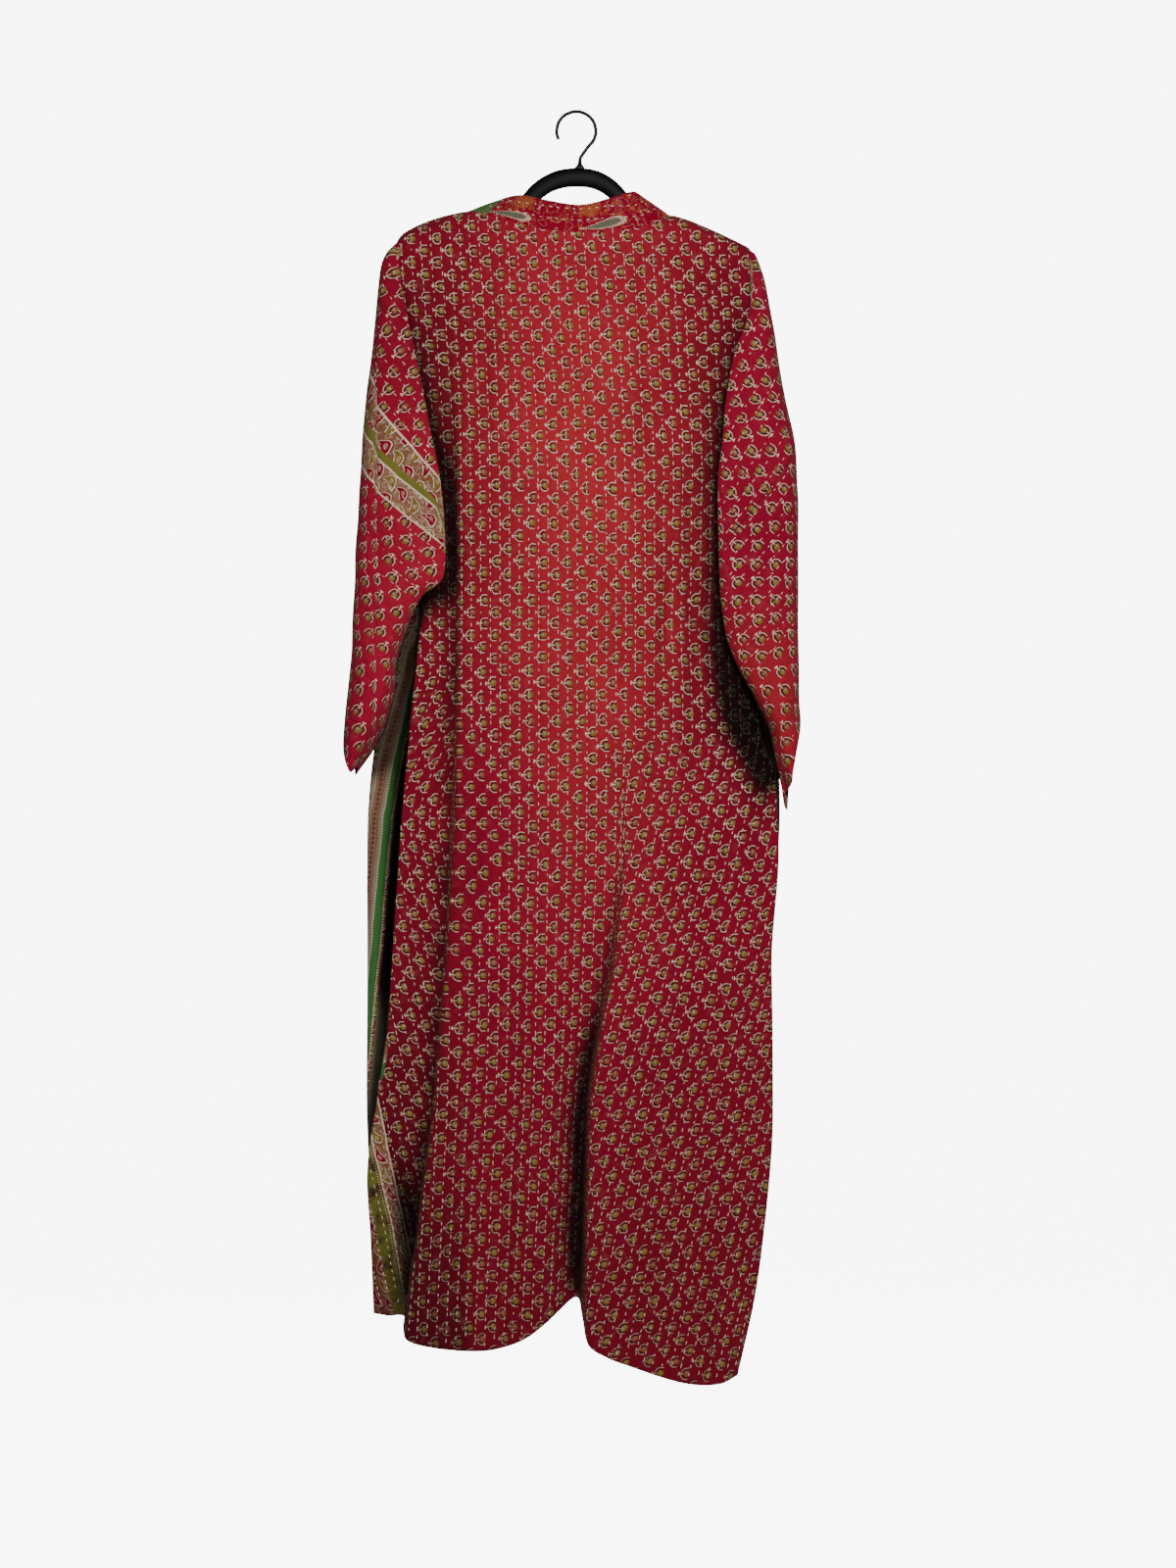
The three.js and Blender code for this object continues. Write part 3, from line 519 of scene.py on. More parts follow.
# Where the print and the stitches lie on each cloth: across the stitch rows, then along them
GORE_LEAN = 0.22
GORE_DROP = 1119
BORDER_ACROSS = -219
RIGHT_LEAN = 0.17
SLEEVE_ROW_DEGREES = {
    "left": ((100, 300, 427, 458, 491, 600, 800), (64, 56, 47, 39, 38, 34, 30)),
    "right": ((100, 300, 450, 600, 820), (60, 56, 52, 46, 40)),
}
SLEEVE_BORDER_DROPS = (427, 458, 491)
RIGHT_SLEEVE_JOINT_DROP = 500
ROW_ROUNDS = 40
LONGEST_SLEEVE = 1200

# A pleat down the left sleeve: its place across, the width of print that it hides, and its relief
PLEAT_ACROSS = 224
PLEAT_HIDDEN = 16
PLEAT_FADE = (300, 470)
PLEAT_FADE_SHARE = 0.6
PLEAT_DEPTH = 1.4
PLEAT_HALF = 3
PLEAT_EDGE = (-1.5, 1.5)
PLEAT_TURN = (0, 14)
PLEAT_FROM_FOLD = 40
PLEAT_SEEN = ((260, 330), (560, 640))

# A sleeve's swelling as a share of a panel's, and its drag folds: how far they stand out, and where
SLEEVE_SWELL = 0.6
DRAG_OUT = 0.8
DRAG_BEGINS = (240, 420)

# How far a front's top edge and a sleeve's edges are drawn to the back panel: in rows, and in columns
SHOULDER_REACH = (0, 1.5)
ARMHOLE_REACH = (0, 12)

# Where swelling and creases die out, in points from a cloth's ends and sides
PANEL_FADE = {"rows": (44, 0), "columns": (7, 7)}
SLEEVE_FADE = {"rows": (14, 6), "columns": (14, 10)}

# How far the edge of the left front and the right edge of the back are let out, and between which drops
FRONT_LET_OUT = (8, (542, 566), (590, 640))
BACK_LET_OUT = (11, (700, 745), (820, 960))
LET_OUT_COLUMNS = 10

# Where the print of the back leans with the lower left part, and with the right side
GORE_PLACES = (2.1, 3)
GORE_BEGINS = (620, 820)
RIGHT_PLACES = (6.1, 7)
RIGHT_BEGINS = 700

Cloth = namedtuple("Cloth", "points normals cut facing")

# Fullness of the cuffs: how far their tips are opened across, and how far the left one's back edge is
# let down, round a column of the coarse ring
CUFF_OPEN = 5
CUFF_OPEN_OUTER = 0.4
CUFF_ROWS = 26
LEFT_CUFF_DOWN = 34
LEFT_CUFF_COLUMN = 13.3
LEFT_CUFF_REACH = 4.2


def let_out(base, amount, side, edge_columns):
    """Moves the side edge of a cloth out between some drops."""
    far, begins, ends = amount
    edge = 1 - smooth_step(0, LET_OUT_COLUMNS, edge_columns)
    base[..., 0] += side * far * between_drops(-base[..., 2], begins, ends) * edge


def relieved(base, relief, fade, facing):
    """Points moved out by a relief that dies out at the edges."""
    relief = relief * edge_fade(relief.shape, **fade)
    return base + grid_normals(base, facing) * relief[..., None]


def fine_back(coarse):
    rows, columns = (fine_places(count, steps) for count, steps in zip(coarse.shape, PANEL_FINE))
    base = refine(coarse, rows, columns)
    let_out(base, BACK_LET_OUT, 1, columns[-1] - columns)
    points = relieved(base, crease_relief(BACK_CREASES, base) + soft_swell(base, 1), PANEL_FADE, 1)
    drop = -points[..., 2]
    place = np.broadcast_to(columns / COLUMNS_PER_GUIDE, drop.shape)
    across = arc_across(points, PRINT_GUIDE * COLUMNS_PER_GUIDE * PANEL_FINE[1])
    groove = GROOVE_GUIDE * COLUMNS_PER_GUIDE * PANEL_FINE[1]
    level = np.argmin(np.abs(drop[:, groove] - GORE_DROP))
    moved = points[:, groove : groove + 1, 0] - points[level, groove, 0]
    gore = arc_across(points, groove) + across[level, groove] + moved - GORE_LEAN * (drop - GORE_DROP)
    in_gore = (1 - smooth_step(*GORE_PLACES, place)) * smooth_step(*GORE_BEGINS, drop)
    leaning = RIGHT_LEAN * np.maximum(0, drop - RIGHT_BEGINS) * smooth_step(*RIGHT_PLACES, place)
    across = mix(across + leaning, gore, in_gore)
    order = np.argsort(points[level, : groove + 1, 0])
    border = np.interp(BORDER_ACROSS, points[level, order, 0], across[level, order])
    return Cloth(points, grid_normals(points, 1), np.stack([across, -drop], axis=-1), 1), border


def fine_front(coarse, back_coarse, creases, facing, seed):
    rows, columns = (fine_places(count, steps) for count, steps in zip(coarse.shape, PANEL_FINE))
    base = refine(coarse, rows, columns)
    shoulder = refine(back_coarse, [0], fine_places(back_coarse.shape[1], PANEL_FINE[1]))[0]
    if facing < 0:
        let_out(base, FRONT_LET_OUT, facing, columns)
    raised = np.interp(base[0, :, 0], shoulder[:, 0], shoulder[:, 2]) - base[0, :, 2]
    base[..., 2] += raised * (1 - smooth_step(*SHOULDER_REACH, rows))[:, None]
    points = relieved(base, crease_relief(creases, base) + soft_swell(base, seed), PANEL_FADE, facing)
    cut = np.stack([facing * arc_across(points, 0), points[..., 2]], axis=-1)
    return Cloth(points, grid_normals(points, facing), cut, facing)


def sleeve_rows(side_name, arc, drop):
    """Places on a sleeve along and across its stitch rows, which wind round it at a changing slope."""
    knots, degrees = SLEEVE_ROW_DEGREES[side_name]
    start = drop.copy()
    for _ in range(ROW_ROUNDS):
        slope = np.tan(np.radians(np.interp(start, knots, degrees)))
        start = mix(start, drop + arc * slope, 0.5)
    lean = np.radians(np.interp(start, knots, degrees))
    return row_depth(side_name, start), arc / np.cos(lean) - row_depth(side_name, start, np.sin)


def row_depth(side_name, drop, turn=np.cos):
    """Distance down a sleeve at right angles to its stitch rows, or along them where turn is the sine."""
    knots, degrees = SLEEVE_ROW_DEGREES[side_name]
    steps = np.arange(0.0, LONGEST_SLEEVE)
    depth = np.cumsum(turn(np.radians(np.interp(steps, knots, degrees))))
    return np.interp(drop, steps, depth)


def fine_sleeve(coarse, back_coarse, back_column, front_coarse, side, side_name, seed):
    rows, columns = (fine_places(count, steps) for count, steps in zip(coarse.shape, SLEEVE_FINE))
    base = refine(coarse, rows, columns)
    armhole = rows <= ARMHOLE_ROWS - 1
    gap = np.array([side * SEAM_GAP, 0, 0])
    towards_back = refine(back_coarse, rows[armhole] + 1, [back_column])[:, 0] + gap - base[armhole, 0]
    towards_front = refine(front_coarse, rows[armhole] + 1, [0])[:, 0] + gap - base[armhole, -1]
    near = 1 - smooth_step(*ARMHOLE_REACH, np.arange(len(columns)))
    base[armhole] += towards_back[:, None] * near[None, :, None]
    base[armhole] += towards_front[:, None] * near[None, ::-1, None]
    cuff = smooth_step(len(rows) - CUFF_ROWS, len(rows), np.arange(len(rows)))[:, None]
    turn = np.arange(len(columns)) / SLEEVE_FINE[1]
    inner = -np.sin(np.pi * turn / FOLD_COLUMN)
    outer = np.sin(np.pi * (turn - FOLD_COLUMN) / OUTER_COLUMN) * CUFF_OPEN_OUTER
    opened = np.where(turn < FOLD_COLUMN, inner, outer)
    base[..., 0] += side * CUFF_OPEN * opened * cuff
    if side_name == "left":
        let_down = np.exp(-(((turn - LEFT_CUFF_COLUMN) / LEFT_CUFF_REACH) ** 2))
        base[..., 2] -= LEFT_CUFF_DOWN * let_down * cuff
    drop = -base[..., 2]
    fold = FOLD_COLUMN * SLEEVE_FINE[1]
    arc = arc_across(base, OUTER_COLUMN * SLEEVE_FINE[1])
    arc = arc - arc[np.argmin(np.abs(drop[:, fold] - SLEEVE_BORDER_DROPS[1])), fold]
    relief = SLEEVE_SWELL * soft_swell(base, seed)
    if side_name == "left":
        past = np.abs(base[..., 0]) - PLEAT_ACROSS
        behind = smooth_step(*PLEAT_TURN, -base[..., 1])
        crossed = np.maximum(smooth_step(*PLEAT_EDGE, past), 1 - behind) * (arc > PLEAT_FROM_FOLD)
        arc = arc + PLEAT_HIDDEN * crossed * (1 - PLEAT_FADE_SHARE * smooth_step(*PLEAT_FADE, drop))
        ridge = np.exp(-((past / PLEAT_HALF) ** 2)) * behind
        relief -= PLEAT_DEPTH * ridge * between_drops(drop, *PLEAT_SEEN)
    depth, along = sleeve_rows(side_name, arc, drop)
    drag = np.sin(depth / 9 + 1.5 * np.sin(along / 40 + seed)) * np.sin(along / 55 + depth / 70 + seed)
    relief += DRAG_OUT * drag * smooth_step(*DRAG_BEGINS, drop)
    points = relieved(base, relief, SLEEVE_FADE, side)
    cut = np.stack([depth, along], axis=-1)
    return Cloth(points, grid_normals(points, side), cut, side)


# How far the neckband laps under the back panel's neckline, where it is sewn
NECK_LAP = 1.5


def fine_collar(back_coarse):
    """The neckband at the back, standing on the back panel's neckline."""
    first = NECK_LEFT_GUIDE * COLUMNS_PER_GUIDE
    last = NECK_RIGHT_GUIDE * COLUMNS_PER_GUIDE
    columns = np.linspace(first, last, (last - first) * PANEL_FINE[1] + 1)
    neckline = refine(back_coarse, [0], columns)[0]
    order = range(len(COLLAR_STAND))
    places = (columns - first) / COLUMNS_PER_GUIDE
    across, out, rise = (through(order, column_of(COLLAR_STAND, name), places) for name in Stand._fields)
    stand = np.stack([across, -out, rise], axis=-1)
    lap = stand / np.linalg.norm(stand, axis=-1, keepdims=True) * NECK_LAP
    part = np.linspace(0, 1, 4 * COLLAR_STRIPS + 1)[:, None, None]
    points = neckline + stand * part - lap * (1 - part)
    normals = grid_normals(points, -1)
    points = points + normals * (0.7 + 0.3 * np.sin(places * 5)[None, :, None]) * np.sin(np.pi * part)
    tall = np.linalg.norm(stand, axis=-1)
    along = np.concatenate([[0], np.cumsum(np.linalg.norm(np.diff(neckline, axis=0), axis=-1))])
    cut = np.stack([np.broadcast_to(along, points.shape[:2]), part[..., 0] * tall], axis=-1)
    return Cloth(points, grid_normals(points, -1), cut, -1)


def fine_band(front, stand, toward):
    """A neckband on the seam edge of a front panel. toward is 1 for the left one."""
    edge = front.points[:, -1]
    hung = smooth_step(*BAND_TURN, -edge[:, 2])
    leaning = np.stack(
        [mix(stand.across, BAND_WIDTH * toward, hung), BAND_LEAN * hung, mix(stand.rise, 0, hung)], axis=-1
    )
    gap = leaning / np.linalg.norm(leaning, axis=-1, keepdims=True) * SEAM_GAP
    part = np.linspace(0, 1, 9)[None, :, None]
    points = (edge + gap)[:, None] + leaning[:, None] * part
    normals = grid_normals(points, -toward)
    uneven = 0.25 * np.sin(edge[:, 2] / 31) + 0.2 * np.sin(edge[:, 2] / 13 + 1)
    points = points + normals * (0.8 + uneven[:, None, None]) * np.sin(np.pi * part)
    width = np.linalg.norm(leaning, axis=-1)[:, None] * part[..., 0]
    cut = np.stack([np.broadcast_to(-edge[:, 2:], width.shape), width], axis=-1)
    return Cloth(points, grid_normals(points, -toward), cut, -toward)


def part_of(cloth, start, end):
    """Some columns of a cloth, drawn back by half a seam where it is cut from the rest."""
    points = cloth.points[:, start:end].copy()
    for is_cut, edge, inner in ((start > 0, 0, 1), (end < cloth.points.shape[1], -1, -2)):
        if is_cut:
            step = points[:, inner] - points[:, edge]
            points[:, edge] += step / np.linalg.norm(step, axis=-1, keepdims=True) * SEAM_GAP / 2
    return Cloth(points, cloth.normals[:, start:end], cloth.cut[:, start:end], cloth.facing)


def exchanged(cloth):
    """The same cloth with its rows and columns exchanged, to trace rows of stitches that run across."""
    grids = (grid.transpose(1, 0, 2) for grid in cloth[:3])
    return Cloth(*grids, cloth.facing)


# Meshes

# Cells of the maps of how deep the cloth lies, in mm, and how far their shade spreads and reaches
HOLLOW_CELL = 5
HOLLOW_CELLS = (120, 300)
HOLLOW_HALF_WIDTH = 300
HOLLOW_OPEN = 60.0
HOLLOW_BLUR = 3.2
HOLLOW_BLUR_CELLS = 8
HOLLOW_REACH = 12

# Where the back lies in deep shade, beside the right sleeve and in the lower left fold
Shade = namedtuple("Shade", "across drop reach reach_down slant depth")
SHADES = (Shade(192, 694, 24, 85, 0.32, 23), Shade(-205, 1180, 34, 150, -0.1, 6))


def shaded(lying):
    """The map with the deep shades taken out of it."""
    rows, columns = lying.shape
    across = (np.arange(columns) + 0.5) * HOLLOW_CELL - HOLLOW_HALF_WIDTH
    drop = (np.arange(rows)[:, None] + 0.5) * HOLLOW_CELL
    for shade in SHADES:
        side = (across - shade.across - shade.slant * (drop - shade.drop)) / shade.reach
        lying = lying - shade.depth * np.exp(-(side**2) - ((drop - shade.drop) / shade.reach_down) ** 2)
    return lying


def lowest_map(cloths, toward):
    """How far forward the cloths lie, seen along y, on a grid of small cells, blurred as soft shade is."""
    columns, rows = HOLLOW_CELLS
    lying = np.full((rows, columns), HOLLOW_OPEN)
    for cloth in cloths:
        places = cloth.points.reshape(-1, 3)
        column = np.clip(((places[:, 0] + HOLLOW_HALF_WIDTH) / HOLLOW_CELL).astype(int), 0, columns - 1)
        row = np.clip((-places[:, 2] / HOLLOW_CELL).astype(int), 0, rows - 1)
        np.minimum.at(lying, (row, column), places[:, 1] * toward)
    steps = np.arange(-HOLLOW_BLUR_CELLS, HOLLOW_BLUR_CELLS + 1)
    weights = np.exp(-((steps / HOLLOW_BLUR) ** 2) / 2)
    weights /= weights.sum()
    for axis in (0, 1):
        cells = np.arange(lying.shape[axis])
        lying = sum(
            weight * np.take(lying, np.clip(cells + step, 0, cells[-1]), axis=axis)
            for weight, step in zip(weights, steps)
        )
    return lying


def hollow_at(points, lying, toward):
    """0 in the open to 1 deep behind or beside cloth that lies further forward."""
    column = (points[..., 0] + HOLLOW_HALF_WIDTH) / HOLLOW_CELL - 0.5
    row = -points[..., 2] / HOLLOW_CELL - 0.5
    first_column, first_row = np.floor(column).astype(int), np.floor(row).astype(int)
    across, down = column - first_column, row - first_row
    total = 0
    for shift_row, weight_row in ((0, 1 - down), (1, down)):
        for shift_column, weight_column in ((0, 1 - across), (1, across)):
            taken = lying[
                np.clip(first_row + shift_row, 0, lying.shape[0] - 1),
                np.clip(first_column + shift_column, 0, lying.shape[1] - 1),
            ]
            total = total + taken * weight_row * weight_column
    return np.clip((points[..., 1] * toward - total) / HOLLOW_REACH, 0, 1)


FORMS = {}


def all_forms():
    """Every cloth of the robe, worked out once, with how deep each side of it lies."""
    if FORMS:
        return FORMS
    coarse = coarse_back()
    FORMS["back"], FORMS["border"] = fine_back(coarse)
    last = coarse.shape[1] - 1
    left = (FRONT_LEFT_GUIDES, FRONT_LEFT_CREASES, SLEEVE_LEFT_RINGS, SLEEVE_LEFT_TUBE, COLLAR_STAND[0])
    right = (FRONT_RIGHT_GUIDES, FRONT_RIGHT_CREASES, SLEEVE_RIGHT_RINGS, SLEEVE_RIGHT_TUBE, COLLAR_STAND[-1])
    sides = (("left", -1, 0, *left), ("right", 1, last, *right))
    for seed, (name, side, column, guides, creases, rings, tube, stand) in enumerate(sides, start=31):
        front = coarse_front(guides, coarse)
        FORMS[f"front_{name}"] = fine_front(front, coarse, creases, side, seed)
        sleeve = coarse_sleeve(coarse, column, front, rings, tube, side)
        FORMS[f"sleeve_{name}"] = fine_sleeve(sleeve, coarse, column, front, side, name, seed + 10)
        FORMS[f"band_{name}"] = fine_band(FORMS[f"front_{name}"], stand, -side)
    FORMS["collar"] = fine_collar(coarse)
    cloths = [form for form in FORMS.values() if isinstance(form, Cloth)]
    FORMS["behind"], FORMS["before"] = shaded(lowest_map(cloths, 1)), lowest_map(cloths, -1)
    return FORMS


def hollows(cloth):
    """How deep the outside and the inside of a cloth lie."""
    behind = hollow_at(cloth.points, FORMS["behind"], 1)
    before = hollow_at(cloth.points, FORMS["before"], -1)
    faces_back = cloth.normals[..., 1] < 0
    return np.where(faces_back, behind, before), np.where(faces_back, before, behind)


def finished(name, mesh, material, *inside):
    """Smooth faces, materials and an object at the origin for a mesh."""
    mesh.polygons.foreach_set("use_smooth", np.ones(len(mesh.polygons), dtype=bool))
    for used in (material, *inside):
        mesh.materials.append(used)
    mesh.update()
    return add_to_scene(name, mesh)


def add_to_scene(name, data):
    made = bpy.data.objects.new(name, data)
    bpy.context.scene.collection.objects.link(made)
    return made


def add_values(mesh, label, values):
    layer = mesh.attributes.new(label, "FLOAT", "POINT")
    layer.data.foreach_set("value", values.astype(np.float32))


def cloth_object(name, cloth, thickness, materials):
    """A sheet of cloth on a grid's points, thickened inwards. materials: outside, inside."""
    rows, columns = cloth.points.shape[:2]
    bm = bmesh.new()
    bmesh.ops.create_grid(bm, x_segments=columns - 1, y_segments=rows - 1, size=0.5)
    mesh = bpy.data.meshes.new(name)
    bm.to_mesh(mesh)
    bm.free()
    flat = np.empty(len(mesh.vertices) * 3)
    mesh.vertices.foreach_get("co", flat)
    flat = flat.reshape(-1, 3)
    column = np.rint((flat[:, 0] + 0.5) * (columns - 1)).astype(int)
    row = np.rint((0.5 - flat[:, 1]) * (rows - 1)).astype(int)
    mesh.vertices.foreach_set("co", (cloth.points[row, column] * MM).ravel())
    corners = np.empty(len(mesh.loops), dtype=np.int64)
    mesh.loops.foreach_get("vertex_index", corners)
    cut = mesh.uv_layers.new(name="Cut")
    cut.data.foreach_set("uv", (cloth.cut[row, column][corners] * MM).ravel())
    for label, depth in zip(("Hollow", "Hollow inside"), hollows(cloth)):
        add_values(mesh, label, depth[row, column])
    if cloth.facing < 0:
        mesh.flip_normals()
    piece = finished(name, mesh, *materials)
    wall = piece.modifiers.new("Wall", "SOLIDIFY")
    wall.thickness = thickness * MM
    wall.offset = -1
    wall.material_offset = 1
    return piece


# A row of stitches needs more points than this
LEAST_POINTS = 3


def trace_rows(points, normals, field, spacing):
    """Lines on a cloth where a field is a whole number of spacings, one point for each of its rows."""
    low, high = field.min(), field.max()
    lines = []
    for level in np.arange(math.ceil(low / spacing), math.floor(high / spacing) + 1) * spacing:
        line = []
        for row, values in enumerate(field):
            crossed = np.nonzero((values[:-1] < level) != (values[1:] < level))[0]
            if len(crossed) == 0:
                lines.append(line)
                line = []
                continue
            column = crossed[0]
            part = (level - values[column]) / (values[column + 1] - values[column])
            place = mix(points[row, column], points[row, column + 1], part)
            normal = mix(normals[row, column], normals[row, column + 1], part)
            line.append((place, normal))
        lines.append(line)
    return [tuple(np.array(item) for item in zip(*line)) for line in lines if len(line) > LEAST_POINTS]


# Cloth steeper than this in a fold hides its stitches
STEEP = 0.62

# Sewing by hand, in mm: cloth kept bare at the ends of a row, how much the places and lengths of the
# stitches vary, the least and greatest length, the share of them that is missing, and their slant
ROW_SPARE = 4
ROW_END = 3
PLACE_SPREAD = 0.7
LENGTH_SPREAD = 0.9
LENGTH_RANGE = (2.2, 6.5)
MISSING = 0.02
SLANT = 0.12


def stitch_template():
    """One running stitch, a unit long, wide and high, pointed where it enters the cloth."""
    bm = bmesh.new()
    bmesh.ops.create_uvsphere(bm, u_segments=4, v_segments=3, radius=0.5)
    bmesh.ops.rotate(bm, verts=bm.verts, matrix=Matrix.Rotation(math.radians(90), 3, "Y"))
    bmesh.ops.triangulate(bm, faces=bm.faces)
    bm.verts.index_update()
    points = np.array([vert.co[:] for vert in bm.verts])
    faces = np.array([[vert.index for vert in face.verts] for face in bm.faces])
    bm.free()
    return points, faces


def stitch_object(name, lines, sizes, seed, material):
    """Running stitches along lines on a cloth, joined in one mesh."""
    chance = np.random.default_rng(seed)
    template, faces = stitch_template()
    pitch, usual = sizes.stitch_pitch / MM, sizes.stitch_length / MM
    centres, forwards, ups, lengths = [], [], [], []
    for points, normals in lines:
        steps = np.linalg.norm(np.diff(points, axis=0), axis=-1)
        run = np.concatenate([[0], np.cumsum(steps)])
        count = int((run[-1] - ROW_SPARE) / pitch)
        if count < 1:
            continue
        middle = (np.arange(count) + chance.uniform(0.2, 0.8)) * pitch
        middle = middle + chance.normal(0, PLACE_SPREAD, count)
        length = np.clip(chance.normal(usual, LENGTH_SPREAD, count), *LENGTH_RANGE)
        kept = (middle > ROW_END) & (middle < run[-1] - ROW_END) & (chance.random(count) > MISSING)
        kept &= np.abs(np.interp(middle, run, normals[:, 1])) > STEEP
        middle, length = middle[kept], length[kept]

        def at(place, values):
            return np.stack([np.interp(place, run, values[:, axis]) for axis in range(3)], axis=-1)

        centres.append(at(middle, points))
        forwards.append(at(middle + length / 2, points) - at(middle - length / 2, points))
        ups.append(at(middle, normals))
        lengths.append(length)
    centre, forward, up, length = (np.concatenate(item) for item in (centres, forwards, ups, lengths))
    forward /= np.linalg.norm(forward, axis=-1, keepdims=True)
    sideways = np.cross(up, forward)
    sideways /= np.linalg.norm(sideways, axis=-1, keepdims=True)
    up = np.cross(forward, sideways)
    sideways += forward * chance.normal(0, SLANT, len(length))[:, None]
    behind, before = hollow_at(centre, FORMS["behind"], 1), hollow_at(centre, FORMS["before"], -1)
    depth = np.where(up[:, 1] < 0, behind, before)
    placed = centre[:, None] + template[None, :, :1] * length[:, None, None] * forward[:, None]
    placed = placed + template[None, :, 1:2] * sizes.stitch_width / MM * sideways[:, None]
    placed = placed + template[None, :, 2:] * sizes.stitch_height / MM * up[:, None]
    corners = faces[None] + (np.arange(len(length)) * len(template))[:, None, None]
    mesh = bpy.data.meshes.new(name)
    mesh.from_pydata(placed.reshape(-1, 3) * MM, [], corners.reshape(-1, 3))
    add_values(mesh, "Hollow", np.repeat(depth, len(template)))
    return finished(name, mesh, material)


def sweep_object(name, stations, sides, material):
    """A closed bar through rings: each station is a centre, a direction and two half sizes, in mm."""
    bm = bmesh.new()
    last = None
    for index, (centre, direction, half_height, half_thickness) in enumerate(stations):
        forward = Vector(direction).normalized()
        across = Vector((0, 1, 0))
        upward = forward.cross(across).normalized()
        turned = Matrix((across, upward, forward)).transposed().to_4x4()
        sized = Matrix.Diagonal((half_thickness * MM, half_height * MM, 1, 1))
        placed = Matrix.Translation(Vector(centre) * MM) @ turned @ sized
        ends = index in (0, len(stations) - 1)
        ring = bmesh.ops.create_circle(bm, cap_ends=ends, segments=sides, radius=1, matrix=placed)["verts"]
        edges = list({edge for vert in ring for edge in vert.link_edges})
        if last is not None:
            bmesh.ops.bridge_loops(bm, edges=last + edges)
        last = edges
    bmesh.ops.recalc_face_normals(bm, faces=bm.faces)
    for face in bm.faces:
        face.smooth = len(face.verts) == 4
    mesh = bpy.data.meshes.new(name)
    bm.to_mesh(mesh)
    bm.free()
    mesh.materials.append(material)
    return add_to_scene(name, mesh)


# Shader trees


class Wire:
    """A value in a shader tree that plain arithmetic works on."""

    def __init__(self, tree, socket):
        self.tree = tree
        self.socket = socket

    def __add__(self, other):
        return self.tree.math("ADD", self, other)

    def __mul__(self, other):
        return self.tree.math("MULTIPLY", self, other)

    def __sub__(self, other):
        return self.tree.math("SUBTRACT", self, other)

    def __rsub__(self, other):
        return self.tree.math("SUBTRACT", other, self)

    def __truediv__(self, other):
        return self.tree.math("DIVIDE", self, other)

    def __abs__(self):
        return self.tree.math("ABSOLUTE", self)

    __radd__ = __add__
    __rmul__ = __mul__


